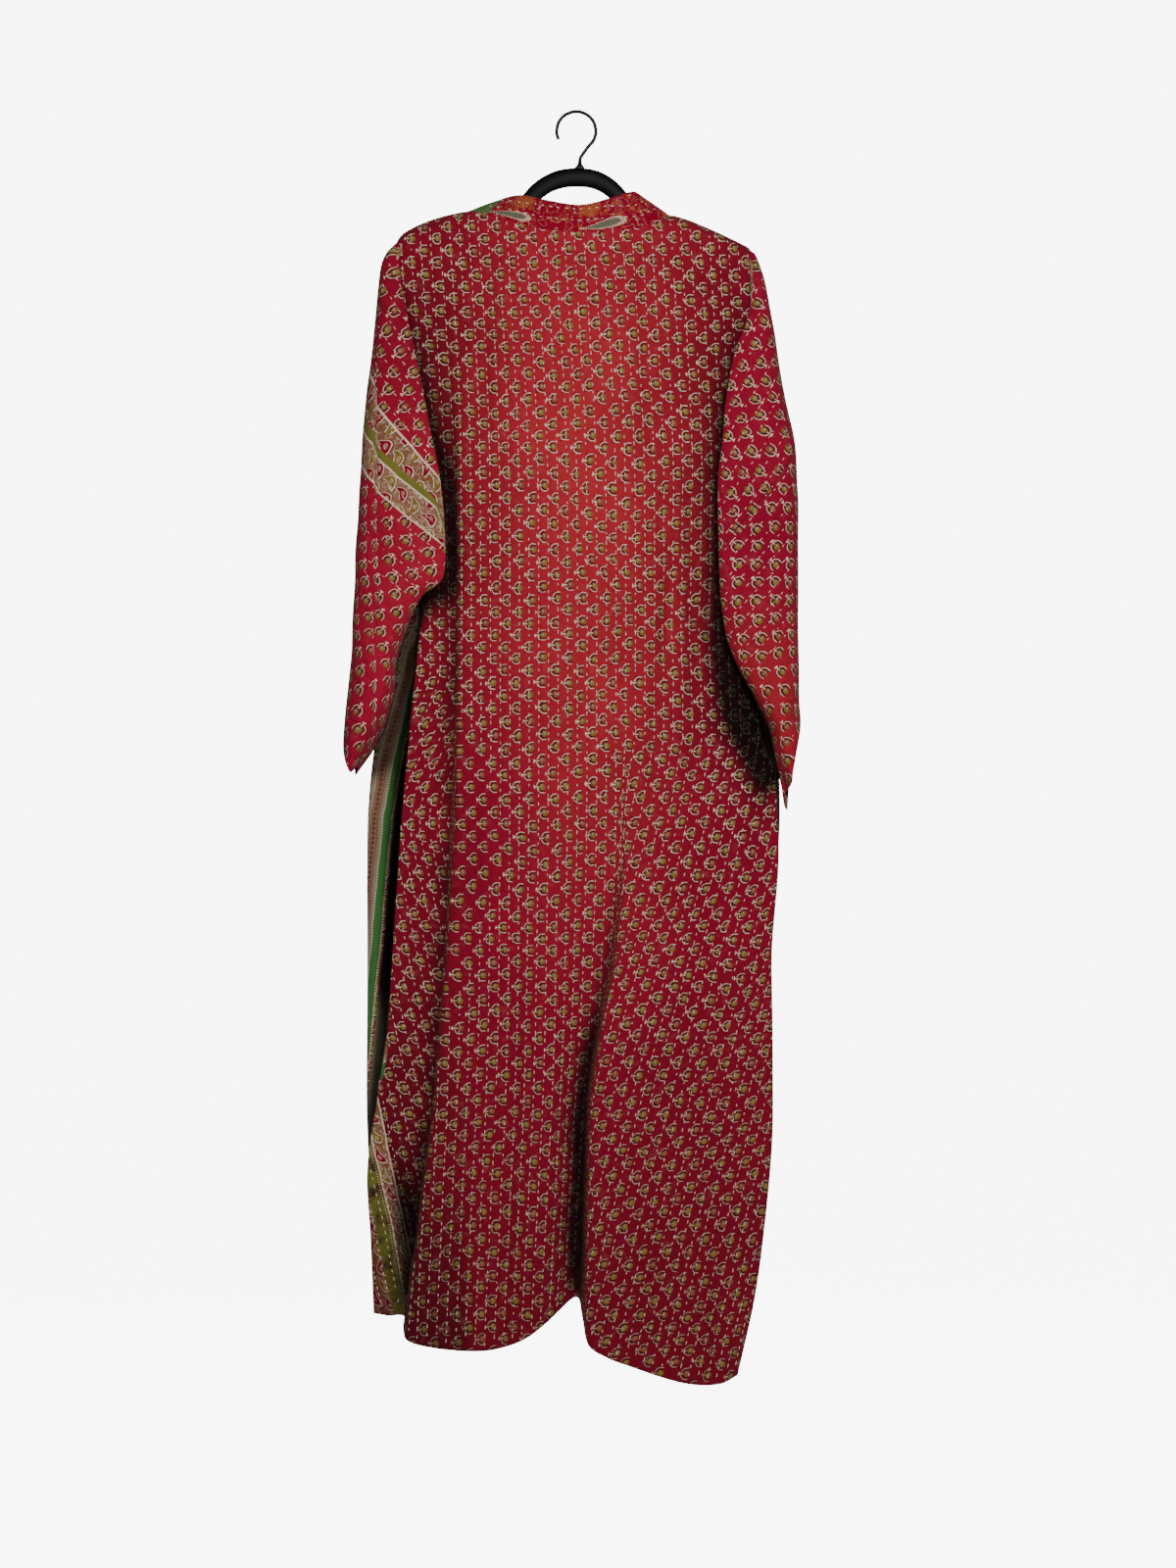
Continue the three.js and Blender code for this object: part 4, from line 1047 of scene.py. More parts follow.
class Tree:
    """Short names for adding and linking the nodes of one shader tree."""

    def __init__(self, tree):
        self.tree = tree

    def node(self, kind, **settings):
        made = self.tree.nodes.new(kind)
        for name, value in settings.items():
            setattr(made, name, value)
        return made

    def feed(self, socket, value):
        if isinstance(value, Wire):
            self.tree.links.new(value.socket, socket)
        elif socket.type == "RGBA":
            socket.default_value = (*value[:3], 1)
        else:
            socket.default_value = value

    def fill(self, made, values, output=0):
        """Feeds a node's first inputs in turn and gives one of its outputs."""
        for socket, value in zip(made.inputs, values):
            self.feed(socket, value)
        return Wire(self, made.outputs[output])

    def math(self, operation, *values, clamp=False):
        return self.fill(self.node("ShaderNodeMath", operation=operation, use_clamp=clamp), values)

    def vector(self, operation, *values):
        return self.fill(self.node("ShaderNodeVectorMath", operation=operation), values)

    def scaled(self, vector, factor):
        made = self.node("ShaderNodeVectorMath", operation="SCALE")
        self.feed(made.inputs["Scale"], factor)
        return self.fill(made, [vector])

    def combine(self, x, y, z=0):
        return self.fill(self.node("ShaderNodeCombineXYZ"), (x, y, z))

    def split(self, vector):
        made = self.node("ShaderNodeSeparateXYZ")
        self.feed(made.inputs[0], vector)
        return [Wire(self, socket) for socket in made.outputs]

    def dimmed(self, color, level):
        return self.vector("MULTIPLY", color, self.combine(level, level, level))

    def most(self, *values):
        total = values[0]
        for value in values[1:]:
            total = self.math("MAXIMUM", total, value)
        return total

    def odd(self, number, every=2):
        """0 at each whole number that a count divides, and 1 at the others."""
        return self.above(self.math("MODULO", abs(number), every), 0.5, 0.01)

    def above(self, value, edge, soft=0.12):
        """1 where a value is above an edge, going soft across it."""
        made = self.node("ShaderNodeMapRange", interpolation_type="SMOOTHSTEP")
        for name, given in (("Value", value), ("From Min", edge - soft), ("From Max", edge + soft)):
            self.feed(made.inputs[name], given)
        return Wire(self, made.outputs["Result"])

    def below(self, value, edge, soft=0.12):
        return 1 - self.above(value, edge, soft)

    def between(self, value, low, high, soft=0.12):
        return self.above(value, low, soft) * self.below(value, high, soft)

    def choose(self, first, second, factor, kind="FLOAT"):
        """One of two values, or both mixed by a factor."""
        made = self.node("ShaderNodeMix", data_type=kind)
        for name, given in (("Factor", factor), ("A", first), ("B", second)):
            self.feed(made.inputs[name], given)
        return Wire(self, made.outputs["Result"])

    def blend(self, first, second, factor):
        return self.choose(first, second, factor, "RGBA")

    def paint(self, color, *layers):
        """A colour with others laid over it in turn: each one's colour, its mask and its strength."""
        for over, mask, strength in layers:
            color = self.blend(color, over, mask if strength == 1 else mask * strength)
        return color

    def noise(self, vector, scale, detail=2.0, roughness=0.5, output="Fac"):
        made = self.node("ShaderNodeTexNoise")
        self.feed(made.inputs["Vector"], vector)
        for name, value in (("Scale", scale), ("Detail", detail), ("Roughness", roughness)):
            made.inputs[name].default_value = value
        return Wire(self, made.outputs[output])

    def scribble(self, place, fineness, detail, level, half, soft):
        """Thin curling lines, where noise crosses a level."""
        return self.below(abs(self.noise(self.combine(*place), fineness, detail) - level), half, soft)

    def chance(self, *place):
        """A random value for each whole cell."""
        made = self.node("ShaderNodeTexWhiteNoise", noise_dimensions="3D")
        self.feed(made.inputs["Vector"], self.combine(*place))
        return Wire(self, made.outputs["Value"])

    def reach(self, a, b, radius_a=1, radius_b=1):
        """Distance from a point, 1 on an ellipse round it."""
        squares = (self.math("POWER", a / radius_a, 2), self.math("POWER", b / radius_b, 2))
        return self.math("SQRT", squares[0] + squares[1])

    def spot(self, a, b, centre, radii, soft=0.12):
        """A filled ellipse."""
        return self.below(self.reach(a - centre[0], b - centre[1], *radii), 1, soft)

    def ring(self, a, b, centre, radii, half, soft=0.06):
        """The outline of an ellipse, half as thick as stated to each side in shares of its radii."""
        return self.below(abs(self.reach(a - centre[0], b - centre[1], *radii) - 1), half, soft)

    def group(self, made, **values):
        used = self.node("ShaderNodeGroup")
        used.node_tree = made
        for name, value in values.items():
            self.feed(used.inputs[name.replace("_", " ").capitalize()], value)
        return wires(self, used.outputs)


def wires(tree, sockets):
    return {socket.name: Wire(tree, socket) for socket in sockets}


GROUPS = {}
FLOAT, COLOR, VECTOR = "NodeSocketFloat", "NodeSocketColor", "NodeSocketVector"


def node_group(name, inputs, outputs):
    """A new shader node group. An input is a place (None), a color (three numbers) or a value (a number)."""
    made = bpy.data.node_groups.new(name, "ShaderNodeTree")
    for label, default in inputs.items():
        kind = VECTOR if default is None else COLOR if isinstance(default, tuple) else FLOAT
        socket = made.interface.new_socket(label, in_out="INPUT", socket_type=kind)
        if default is not None:
            socket.default_value = (*default, 1) if kind == COLOR else default
    for label, kind in outputs.items():
        made.interface.new_socket(label, in_out="OUTPUT", socket_type=kind)
    tree = Tree(made)
    given = wires(tree, tree.node("NodeGroupInput").outputs)
    return made, tree, given, tree.node("NodeGroupOutput").inputs


def lattice(tree, x, y, column_width, pitch, half_drop=0.5):
    """Cells of a printed repeat: the place in a cell from its middle, and the cell's numbers."""
    column = tree.math("FLOOR", x / column_width)
    within = x - (column + 0.5) * column_width
    step = y / pitch + tree.math("MODULO", abs(column), 2) * half_drop
    row = tree.math("FLOOR", step)
    return within, (step - row - 0.5) * pitch, column, row


# How the rows of a hand-printed repeat drift: how far in mm, and how often for each mm
DRIFT = 11
DRIFT_FINENESS = 0.009

# Cells of the prints' repeats in mm: across, then down. Other numbers in the prints are places, radii
# and widths in mm from the middle of a cell, shares of a colour, and how soft an edge is.
BUD_CELL = (13.4, 28)
PAISLEY_CELL = (15.5, 21)
MEDALLION_CELL = (96, 60)
FLOWER_CELL = (17, 15)
EDGE_LEAF_CELL = (117, 60)


def wobbly(tree, cut, amount, fineness=0.18):
    """Places on the cloth in mm, moved about a little, as a hand-printed block's edges are."""
    millimetres = tree.scaled(cut, 1 / MM)
    for scale, reach in ((fineness, amount), (DRIFT_FINENESS, DRIFT)):
        moved = tree.vector("SUBTRACT", tree.noise(millimetres, scale, 1, 0.5, "Color"), (0.5, 0.5, 0.5))
        millimetres = tree.vector("ADD", millimetres, tree.scaled(moved, reach * 2))
    return tree.split(millimetres)[:2]


def bud_print_group():
    """Small flower buds in half-dropped columns, each on a pale stem between two pale sepals."""
    made, tree, given, result = node_group(
        "Bud print",
        {"Cut": None, "Ground": (0.3, 0.02, 0.03), "Pale": (0.7, 0.5, 0.35), "Flower one": (0.2, 0.18, 0.04),
         "Flower two": (0.5, 0.1, 0.06), "Shadow": (0.05, 0.01, 0.015), "Way": 1.0, "Wear": 0.4},
        {"Color": COLOR},
    )
    pale, shadow = given["Pale"], given["Shadow"]
    x, y = wobbly(tree, given["Cut"], 0.75, 0.22)
    across, down, column, row = lattice(tree, x, y, *BUD_CELL)
    chance = tree.chance(row, column, 3)
    a = across * given["Way"] + (chance * 1.6 - 0.8)
    b = down + (tree.chance(column, row, 11) * 1.4 - 0.7)
    side = abs(b)
    head = tree.spot(a, b, (2.2, 0), (3.4, 3.4))
    shine = tree.spot(a, b, (1.6, 0.9), (1.3, 1.7), 0.5)
    stem = tree.between(a, -6.4, -1.2, 0.3) * tree.below(side, 0.6, 0.3)
    knob = tree.spot(a, b, (-6.2, 0), (0.75, 2.2))
    reach = tree.above(side, 1.6, 0.3) * tree.below(a, chance * 1.4 + 1.0, 0.3)
    arms = tree.ring(a, b, (1.3, 0), (4.9, 6.3), 0.07) * reach
    tips = tree.spot(a, side, (2.6, 6.2), (2.2, 0.5))
    shade = tree.ring(a, b, (1.9, -0.3), (4.0, 5.0), 0.24) * tree.below(a, 4.2, 0.5)
    shade = tree.most(shade, tree.spot(a, b, (1.7, -0.4), (3.9, 4.2)))
    leaf = tree.spot(a, side, (-2.6, 6.6), (2.0, 0.8))
    flower = tree.blend(given["Flower two"], given["Flower one"], tree.odd(row + column, 3))
    flower = tree.paint(flower, (pale, shine, 0.22), (shadow, tree.below(a, 0.4, 0.8), 0.35))
    rubbed = tree.noise(tree.combine(x, y, 0), 0.5, 4, 0.7)
    patchy = tree.noise(tree.combine(x, y, 40), 0.012)
    kept = tree.above(rubbed, given["Wear"] * 0.55 + patchy * 0.3, 0.14)
    kept = (1 - (1 - kept) * 0.75) * (1 - chance * 0.25)
    color = tree.paint(
        given["Ground"], (shadow, shade, 0.8), (shadow, leaf, 0.5), (flower, head, 1),
        (pale, tree.most(stem, knob, arms, tips) * kept, 1),
    )
    tree.feed(result["Color"], color)
    return made


def paisley_group():
    """Packed leaf and paisley shapes in a border band, outlined in pale dots."""
    made, tree, given, result = node_group(
        "Paisley band",
        {"Cut": None, "Ground": (0.4, 0.25, 0.15), "Leaf": (0.2, 0.18, 0.04), "Petal": (0.3, 0.03, 0.04),
         "Outline": (0.6, 0.5, 0.4), "Bud": (0.45, 0.14, 0.04), "Line": (0.05, 0.02, 0.015)},
        {"Color": COLOR},
    )
    outline, bud, line = given["Outline"], given["Bud"], given["Line"]
    x, y = wobbly(tree, given["Cut"], 0.9)
    within, down, column, row = lattice(tree, x, y, *PAISLEY_CELL)
    turned = (tree.chance(column, row, 7) - 0.5) * 0.9 + 0.45
    cosine, sine = tree.math("COSINE", turned), tree.math("SINE", turned)
    a = down * cosine - within * sine
    b = down * sine + within * cosine
    bent = b - tree.math("POWER", abs(a), 2) * 0.06
    body = tree.reach(a, bent, 11.0, 4.9 - a * 0.32)
    stems = tree.scribble((x, y, 2), 0.11, 2, 0.5, 0.022, 0.014)
    buds = tree.above(tree.noise(tree.combine(x, y, 30), 0.16, 1, 0.4), 0.62, 0.02)
    heart = tree.below(tree.reach(a + 1.5, bent, 3.0, 1.9), 1)
    vein = tree.below(abs(bent), 0.45, 0.25) * tree.below(body, 0.7, 0.05)
    color = tree.paint(
        given["Ground"], (bud, buds, 0.8), (outline, stems, 0.25), (line, tree.below(body, 1.16, 0.05), 0.8),
        (outline, tree.below(body, 1.0, 0.05), 0.9),
        (tree.blend(given["Petal"], given["Leaf"], tree.odd(row + column)), tree.below(body, 0.82, 0.05), 1),
        (outline, heart, 0.35), (line, vein, 0.6),
        (line, tree.spot(within, down, (6.6, 10.5), (3.1, 2.9)), 0.5),
        (bud, tree.spot(within, down, (6.6, 10.5), (2.6, 2.4)), 1),
    )
    tree.feed(result["Color"], color)
    return made


def scroll_group():
    """Thin curling stems, five-petalled flowers and half rings along one edge."""
    made, tree, given, result = node_group(
        "Scroll print",
        {"Cut": None, "Ground": (0.3, 0.02, 0.03), "Line": (0.5, 0.2, 0.06), "Flower": (0.6, 0.2, 0.04),
         "Leaf": (0.15, 0.15, 0.1), "Outline": (0.6, 0.45, 0.3)},
        {"Color": COLOR},
    )
    ground, outline = given["Ground"], given["Outline"]
    x, y = wobbly(tree, given["Cut"], 0.7, 0.12)
    along = lattice(tree, x - 2, y, *MEDALLION_CELL, half_drop=0)[0]
    medal = tree.reach(along, y - 29, 17, 13)
    rings = tree.above(tree.math("SINE", medal * 31), -0.1, 0.4)
    petals = tree.above(tree.math("SINE", tree.math("ARCTAN2", along, y - 29) * 17), -0.5, 0.3)
    inside = tree.below(medal, 1, 0.05)
    near, down, flower_column, flower_row = lattice(tree, x + 11, y + 3, *FLOWER_CELL)
    distance = tree.reach(near, down)
    petal = tree.math("COSINE", tree.math("ARCTAN2", down, near) * 5) * 0.9 + 2.1
    kept = tree.above(tree.chance(flower_column, flower_row, 5), 0.5, 0.01)
    leaf_along = lattice(tree, x + 14.5, y, *EDGE_LEAF_CELL, half_drop=0)[0]
    leaf = tree.reach(leaf_along, y - (leaf_along * 0.05 + 4.6), 25, leaf_along * 0.11 + 3.6)
    shade = tree.noise(tree.combine(x, y, 3), 0.3, 3, 0.6) * 0.9 + 0.35
    dots = tree.above(tree.math("SINE", leaf_along * 2.1), -0.2, 0.4)
    color = tree.paint(
        ground, (given["Line"], tree.scribble((x, y, 9), 0.065, 1.5, 0.5, 0.008, 0.006), 0.55),
        (outline, tree.scribble((x, y, 51), 0.10, 1, 0.44, 0.007, 0.006), 0.45),
        (given["Flower"], inside * rings * tree.choose(0.45, 0.95, petals), 1),
        (given["Flower"], tree.below(distance, petal, 0.35) * kept * (1 - inside), 0.85),
        (ground, tree.below(distance, 0.8, 0.2) * kept, 1),
        (tree.dimmed(given["Leaf"], shade), tree.below(leaf, 0.86, 0.04), 1),
        (outline, tree.between(leaf, 0.9, 1.2, 0.05) * dots, 1),
    )
    tree.feed(result["Color"], color)
    return made


def worn_group():
    """Dye that has faded in patches and worn pale in scattered spots, with the cloth's weave."""
    made, tree, given, result = node_group(
        "Worn dye",
        {"Color": (0.3, 0.02, 0.03), "Cut": None, "Dust": (0.5, 0.4, 0.35), "Unevenness": 0.2, "Slub": 0.1},
        {"Color": COLOR, "Weave": FLOAT},
    )
    millimetres = tree.scaled(given["Cut"], 1 / MM)
    broad = tree.noise(millimetres, 0.009, 3, 0.55)
    small = tree.noise(millimetres, 0.07, 3, 0.6)
    uneven = ((broad - 0.5) * 1.5 + (small - 0.5) * 0.9) * given["Unevenness"] + 1
    x, y, _ = tree.split(millimetres)
    warp = tree.noise(tree.combine(x * 2.4, y * 0.12), 1)
    weft = tree.noise(tree.combine(x * 0.12, y * 2.4, 5), 1)
    slub = warp + weft - 1
    color = tree.dimmed(given["Color"], uneven * (slub * given["Slub"] + 1))
    tree.feed(result["Color"], tree.blend(color, given["Dust"], tree.above(small, 0.66, 0.1) * 0.10))
    threads = tree.math("SINE", x * 6.2) + tree.math("SINE", y * 6.2)
    tree.feed(result["Weave"], threads * 0.15 + slub)
    return made


def pucker_group():
    """The quilted surface between rows of running stitches, drawn in at each stitch."""
    made, tree, given, result = node_group(
        "Stitch pucker", {"Cut": None, "Spacing": 10.8, "Pitch": 8.8}, {"Height": FLOAT}
    )
    x, y, _ = tree.split(tree.scaled(given["Cut"], 1 / MM))
    step = x / given["Spacing"]
    puffed = tree.math("SQRT", abs(step - tree.math("ROUND", step)) * 2)
    drawn = tree.noise(tree.combine(step * 2.2, y / given["Pitch"], 1), 1.1, 2, 0.6)
    crinkle = tree.noise(tree.combine(x * 0.10, y * 0.24, 3), 1, 3, 0.6)
    tree.feed(result["Height"], puffed * 0.8 + drawn * 0.9 + crinkle * 1.2)
    return made


def hollow_group():
    """Shade on cloth and thread that lie deep in a fold or behind other cloth."""
    made, tree, given, result = node_group(
        "Hollow shade", {"Color": (0.3, 0.02, 0.03), "Hollow": 0.0, "Darkness": 0.9}, {"Color": COLOR}
    )
    tree.feed(result["Color"], tree.dimmed(given["Color"], 1 - given["Hollow"] * given["Darkness"]))
    return made


def wavy_group():
    """Places on the robe with uneven edges, for the patches of painted shade, painted light and faded ground.
    """
    made, tree, given, result = node_group("Wavy place", {"Place": None}, {"Across": FLOAT, "Rise": FLOAT})
    x, _, z = tree.split(given["Place"])
    tree.feed(result["Across"], (tree.noise(given["Place"], 9, 3, 0.55) - 0.5) * 0.12 + x)
    tree.feed(result["Rise"], z)
    return made


def shade_and_fade_group():
    """One soft patch of a tint, an ellipse in metres on the robe: painted shade where the tint is darker, and
    sun-faded ground, partly standing for painted light, where it is lighter.
    """
    made, tree, given, result = node_group(
        "Faded patch",
        {"Color": (0.3, 0.02, 0.03), "Tint": (0.5, 0.03, 0.03), "Across": 0.0, "Rise": 0.0,
         "Middle across": 0.0, "Middle rise": 0.0, "Half width": 0.1, "Half height": 0.1, "Amount": 1.0},
        {"Color": COLOR},
    )
    away = (given["Across"] - given["Middle across"], given["Rise"] - given["Middle rise"])
    near = tree.reach(*away, given["Half width"], given["Half height"])
    soft = tree.math("POWER", tree.math("MAXIMUM", 1 - near * 0.5, 0), 1.3, clamp=True)
    tree.feed(result["Color"], tree.blend(given["Color"], given["Tint"], soft * given["Amount"]))
    return made


def dots_group():
    """A row of small round dots along a line."""
    made, tree, given, result = node_group(
        "Dotted line",
        {"Along": 0.0, "Across": 0.0, "Centre": 0.0, "Pitch": 3.0, "Size": 0.6},
        {"Dots": FLOAT},
    )
    step = given["Along"] / given["Pitch"]
    near = (step - tree.math("ROUND", step)) * given["Pitch"]
    away = tree.reach(near, given["Across"] - given["Centre"], given["Size"], given["Size"])
    tree.feed(result["Dots"], tree.below(away, 1, 0.25))
    return made


# Materials

# How much painted shade darkens cloth that lies deep in a fold or behind other cloth, outside and inside
HOLLOW_DARK = 0.93
HOLLOW_DARK_INSIDE = 0.76

COTTON = {"Roughness": 0.88, "Sheen Weight": 0.04, "Sheen Roughness": 0.5, "Specular IOR Level": 0.12}
COTTON_RELIEF = 0.0011
BAND_RELIEF = 0.6

# Patches of painted shade and of orange-red ground that is partly sun-faded and partly painted light: middle
# and half sizes in metres across and up the robe, strength, and the tint's name
BACK_SHADE_AND_FADE_PATCHES = (
    # Painted shade, darker at the sides and towards the hem
    ((0.16, -0.32), (0.11, 0.36), 1.0, "deep"),
    ((-0.17, -0.30), (0.09, 0.32), 0.95, "deep"),
    ((-0.17, -0.95), (0.09, 0.45), 0.7, "deep"),
    ((0.14, -1.15), (0.14, 0.45), 0.6, "deep"),
    ((-0.05, -1.42), (0.34, 0.30), 0.9, "deep"),
    # Darkest painted shade, in the lower left fold and in the hollow beside the right sleeve
    ((-0.205, -1.16), (0.045, 0.17), 0.55, "painted_fold_shade"),
    ((0.205, -0.69), (0.030, 0.075), 1.0, "painted_fold_shade"),
    # Orange-red ground, partly sun-faded and partly painted light that falls brightest on the middle of the
    # back
    ((0.0, -0.36), (0.10, 0.26), 0.85, "faded"),
    ((0.02, -0.66), (0.07, 0.22), 0.55, "faded"),
)
# On the sleeves: orange-red ground, partly sun-faded and partly painted light, and painted shade further up
LEFT_SLEEVE_SHADE_AND_FADE_PATCHES = (((-0.17, -0.5), (0.06, 0.2), 0.3, "faded"), ((-0.18, -0.24), (0.06, 0.12), 0.6, "deep"))
RIGHT_SLEEVE_SHADE_AND_FADE_PATCHES = (((0.21, -0.66), (0.04, 0.08), 0.9, "faded"), ((0.2, -0.45), (0.06, 0.25), 0.4, "deep"))

# Where the back's pale print turns darker towards the bottom, where its border lies and where painted shade
# darkens the border towards the hem: heights or a place across in metres, each with how softly it begins
PALE_DARKER_BELOW = (-1.05, 0.35)
PALE_DARKER_SHARE = 0.6
BORDER_SIDE = (-0.12, 0.01)
BORDER_TOP = (-0.80, 0.02)
BORDER_SHADE_BELOW = (-1.24, 0.14)
BORDER_SHADE_SHARE = 0.45

# Printed bands beside the left hem, and painted shade beyond them, in mm from the border's inner line
GORE_LINES = (0, 17)
GORE_STRIPE = (18, 36)
GORE_DOTS = 20.5
GORE_PAINTED_SHADE = 40
NO_BORDER = -1e4

# Printed stripes of the inner side, with one stripe of painted shade among them: width of a repeat, the
# height where they start, their lean, and where each lies in the repeat, all in mm
STRIPES_WIDTH = 96
STRIPES_MIDDLE = -786
STRIPES_LEAN = 0.09
SALMON_STRIPE = (4, 14)
GREEN_STRIPE = (19, 27)
LEAF_STRIPE = (27, 31)
PAINTED_SHADE_STRIPE = (31, 62)

# Rows of dots on them: middle, pitch and size
FIGURE_ROWS = ((9, 5.5, 2.0), (13, 2.4, 0.6))
DOT_ROWS = ((18, 3.2, 0.8), (28, 3.2, 0.9), (3, 2.8, 0.6), (44, 3.0, 0.8))

# How much narrower the sleeve's printed border is where the cloth turns in at the fold
SLEEVE_BORDER_NARROW = 1.1
SLEEVE_BORDER_TURN = (-40, 9, 12)
SLEEVE_STRIPE = 6

# The green cloth at the start of the neckband, beyond which that piece carries the scroll print
GREEN_WIDTH = 27
GREEN_LEAN = 0.35
CHECKS_PER_MM = 0.22


def new_material(name, finish):
    """A material, its tree, its shader's sockets and its places. finish: values set on the shader."""
    material = bpy.data.materials.new(name)
    material.use_nodes = True
    tree = Tree(material.node_tree)
    surface = material.node_tree.nodes["Principled BSDF"].inputs
    for label, value in finish.items():
        surface[label].default_value = value
    return material, tree, surface, Wire(tree, tree.node("ShaderNodeTexCoord").outputs["Object"])


def attribute(tree, label):
    return Wire(tree, tree.node("ShaderNodeAttribute", attribute_name=label).outputs["Fac"])


def add_bump(tree, surface, height, strength, distance):
    bump = tree.node("ShaderNodeBump")
    bump.inputs["Strength"].default_value = strength
    bump.inputs["Distance"].default_value = distance
    tree.feed(bump.inputs["Height"], height)
    tree.feed(surface["Normal"], Wire(tree, bump.outputs[0]))


def fabric(name, color_of, colors, sizes, relief=1.0, layer="Hollow", darkness=HOLLOW_DARK):
    """Washed, quilted cotton. color_of builds the printed colour in the tree from the cut's places."""
    material, tree, surface, place = new_material(name, COTTON)
    cut = Wire(tree, tree.node("ShaderNodeUVMap", uv_map="Cut").outputs[0])
    printed = color_of(tree, cut, place)
    shaded = tree.group(GROUPS["hollow"], color=printed, hollow=attribute(tree, layer), darkness=darkness)
    worn = tree.group(
        GROUPS["worn"], color=shaded["Color"], cut=cut, dust=colors.dust, unevenness=0.22, slub=0.12
    )
    pucker = tree.group(
        GROUPS["pucker"], cut=cut, spacing=sizes.row_spacing / MM, pitch=sizes.stitch_pitch / MM
    )
    tree.feed(surface["Base Color"], worn["Color"])
    add_bump(tree, surface, pucker["Height"] + worn["Weave"] * 0.10, 1, COTTON_RELIEF * relief)
    return material


def ground_with_shade_and_fade(tree, place, colors, shade_and_fade_patches):
    """The ground colour with patches laid over it: painted shade, darker at the sides, towards the hem and in
    deep folds, and orange-red where the sun has faded it, partly standing for painted light on the middle of
    the back.
    """
    wavy = tree.group(GROUPS["wavy"], place=place)
    color = colors.ground
    for (across, rise), (half_width, half_height), amount, dye in shade_and_fade_patches:
        color = tree.group(
            GROUPS["fade"], color=color, tint=getattr(colors, dye), across=wavy["Across"], rise=wavy["Rise"],
            middle_across=across, middle_rise=rise, half_width=half_width, half_height=half_height,
            amount=amount,
        )["Color"]
    return color


def print_buds(tree, cut, ground, way, colors, pale=None):
    return tree.group(
        GROUPS["buds"], cut=cut, ground=ground, pale=pale or colors.pale, flower_one=colors.olive,
        flower_two=colors.salmon, shadow=colors.shadow, way=way, wear=0.42,
    )["Color"]


def print_paisley(tree, cut, colors, ground):
    return tree.group(
        GROUPS["paisley"], cut=cut, ground=ground, leaf=colors.olive, petal=colors.crimson,
        outline=colors.pale, bud=colors.salmon, line=colors.shadow,
    )["Color"]


def print_scrolls(tree, cut, colors):
    return tree.group(
        GROUPS["scroll"], cut=cut, ground=colors.crimson, line=colors.ochre, flower=colors.ochre,
        leaf=colors.grey_green, outline=colors.pale,
    )["Color"]


def dotted_line(tree, along, across, centre, pitch, size):
    used = tree.group(GROUPS["dots"], along=along, across=across, centre=centre, pitch=pitch, size=size)
    return used["Dots"]


def millimetres_of(tree, cut):
    return tree.split(tree.scaled(cut, 1 / MM))


def gore_border(tree, cut, colors, border, color):
    """Printed bands beside the left hem: paisleys, an olive stripe and dots, with painted shade on the cloth
    beyond.
    """
    across, along, _ = millimetres_of(tree, cut)
    out = border - across + (tree.noise(cut, 40) - 0.5) * 2
    uneven = tree.above(tree.noise(cut, 60, 3, 0.6), 0.56, 0.14)
    stripe = tree.blend(colors.olive_stripe, colors.shadow, uneven)
    edges = (tree.between(out, middle - 0.7, middle + 0.7, 0.25) for middle in GORE_LINES)
    return tree.paint(
        color,
        (print_paisley(tree, cut, colors, colors.tan), tree.above(out, 0, 0.3), 1),
        (stripe, tree.between(out, *GORE_STRIPE, 3) * tree.above(out, GORE_STRIPE[0] - 0.5, 0.4), 1),
        # Painted shade on the cloth beyond the bands, where the lower left part turns away
        (colors.deep, tree.above(out, GORE_PAINTED_SHADE, 5), 0.5),
        (colors.pale, tree.most(*edges, dotted_line(tree, along, out, GORE_DOTS, 3, 0.6)), 0.85),
    )


def back_material(colors, sizes, border):
    def color_of(tree, cut, place):
        x, _, z = tree.split(place)
        ground = ground_with_shade_and_fade(tree, place, colors, BACK_SHADE_AND_FADE_PATCHES)
        # The pale print turns darker towards the bottom
        pale = tree.blend(colors.pale, colors.pale_lower, tree.below(z, *PALE_DARKER_BELOW) * PALE_DARKER_SHARE)
        color = print_buds(tree, cut, ground, 1.0, colors, pale)
        bordered = gore_border(tree, cut, colors, border, color)
        # Painted shade on the border towards the hem
        bordered = tree.dimmed(bordered, 1 - tree.below(z, *BORDER_SHADE_BELOW) * BORDER_SHADE_SHARE)
        return tree.blend(color, bordered, tree.below(x, *BORDER_SIDE) * tree.below(z, *BORDER_TOP))

    return fabric("Red bud print", color_of, colors, sizes)


def sleeve_buds(tree, cut, place, colors, shade_and_fade_patches, depth, turned_at):
    """Bud print that points up the sleeve above a joint and down it below."""
    ground = ground_with_shade_and_fade(tree, place, colors, shade_and_fade_patches)
    upper, lower = (print_buds(tree, cut, ground, way, colors) for way in (-1.0, 1.0))
    return tree.blend(upper, lower, tree.above(depth, turned_at, 0.2))


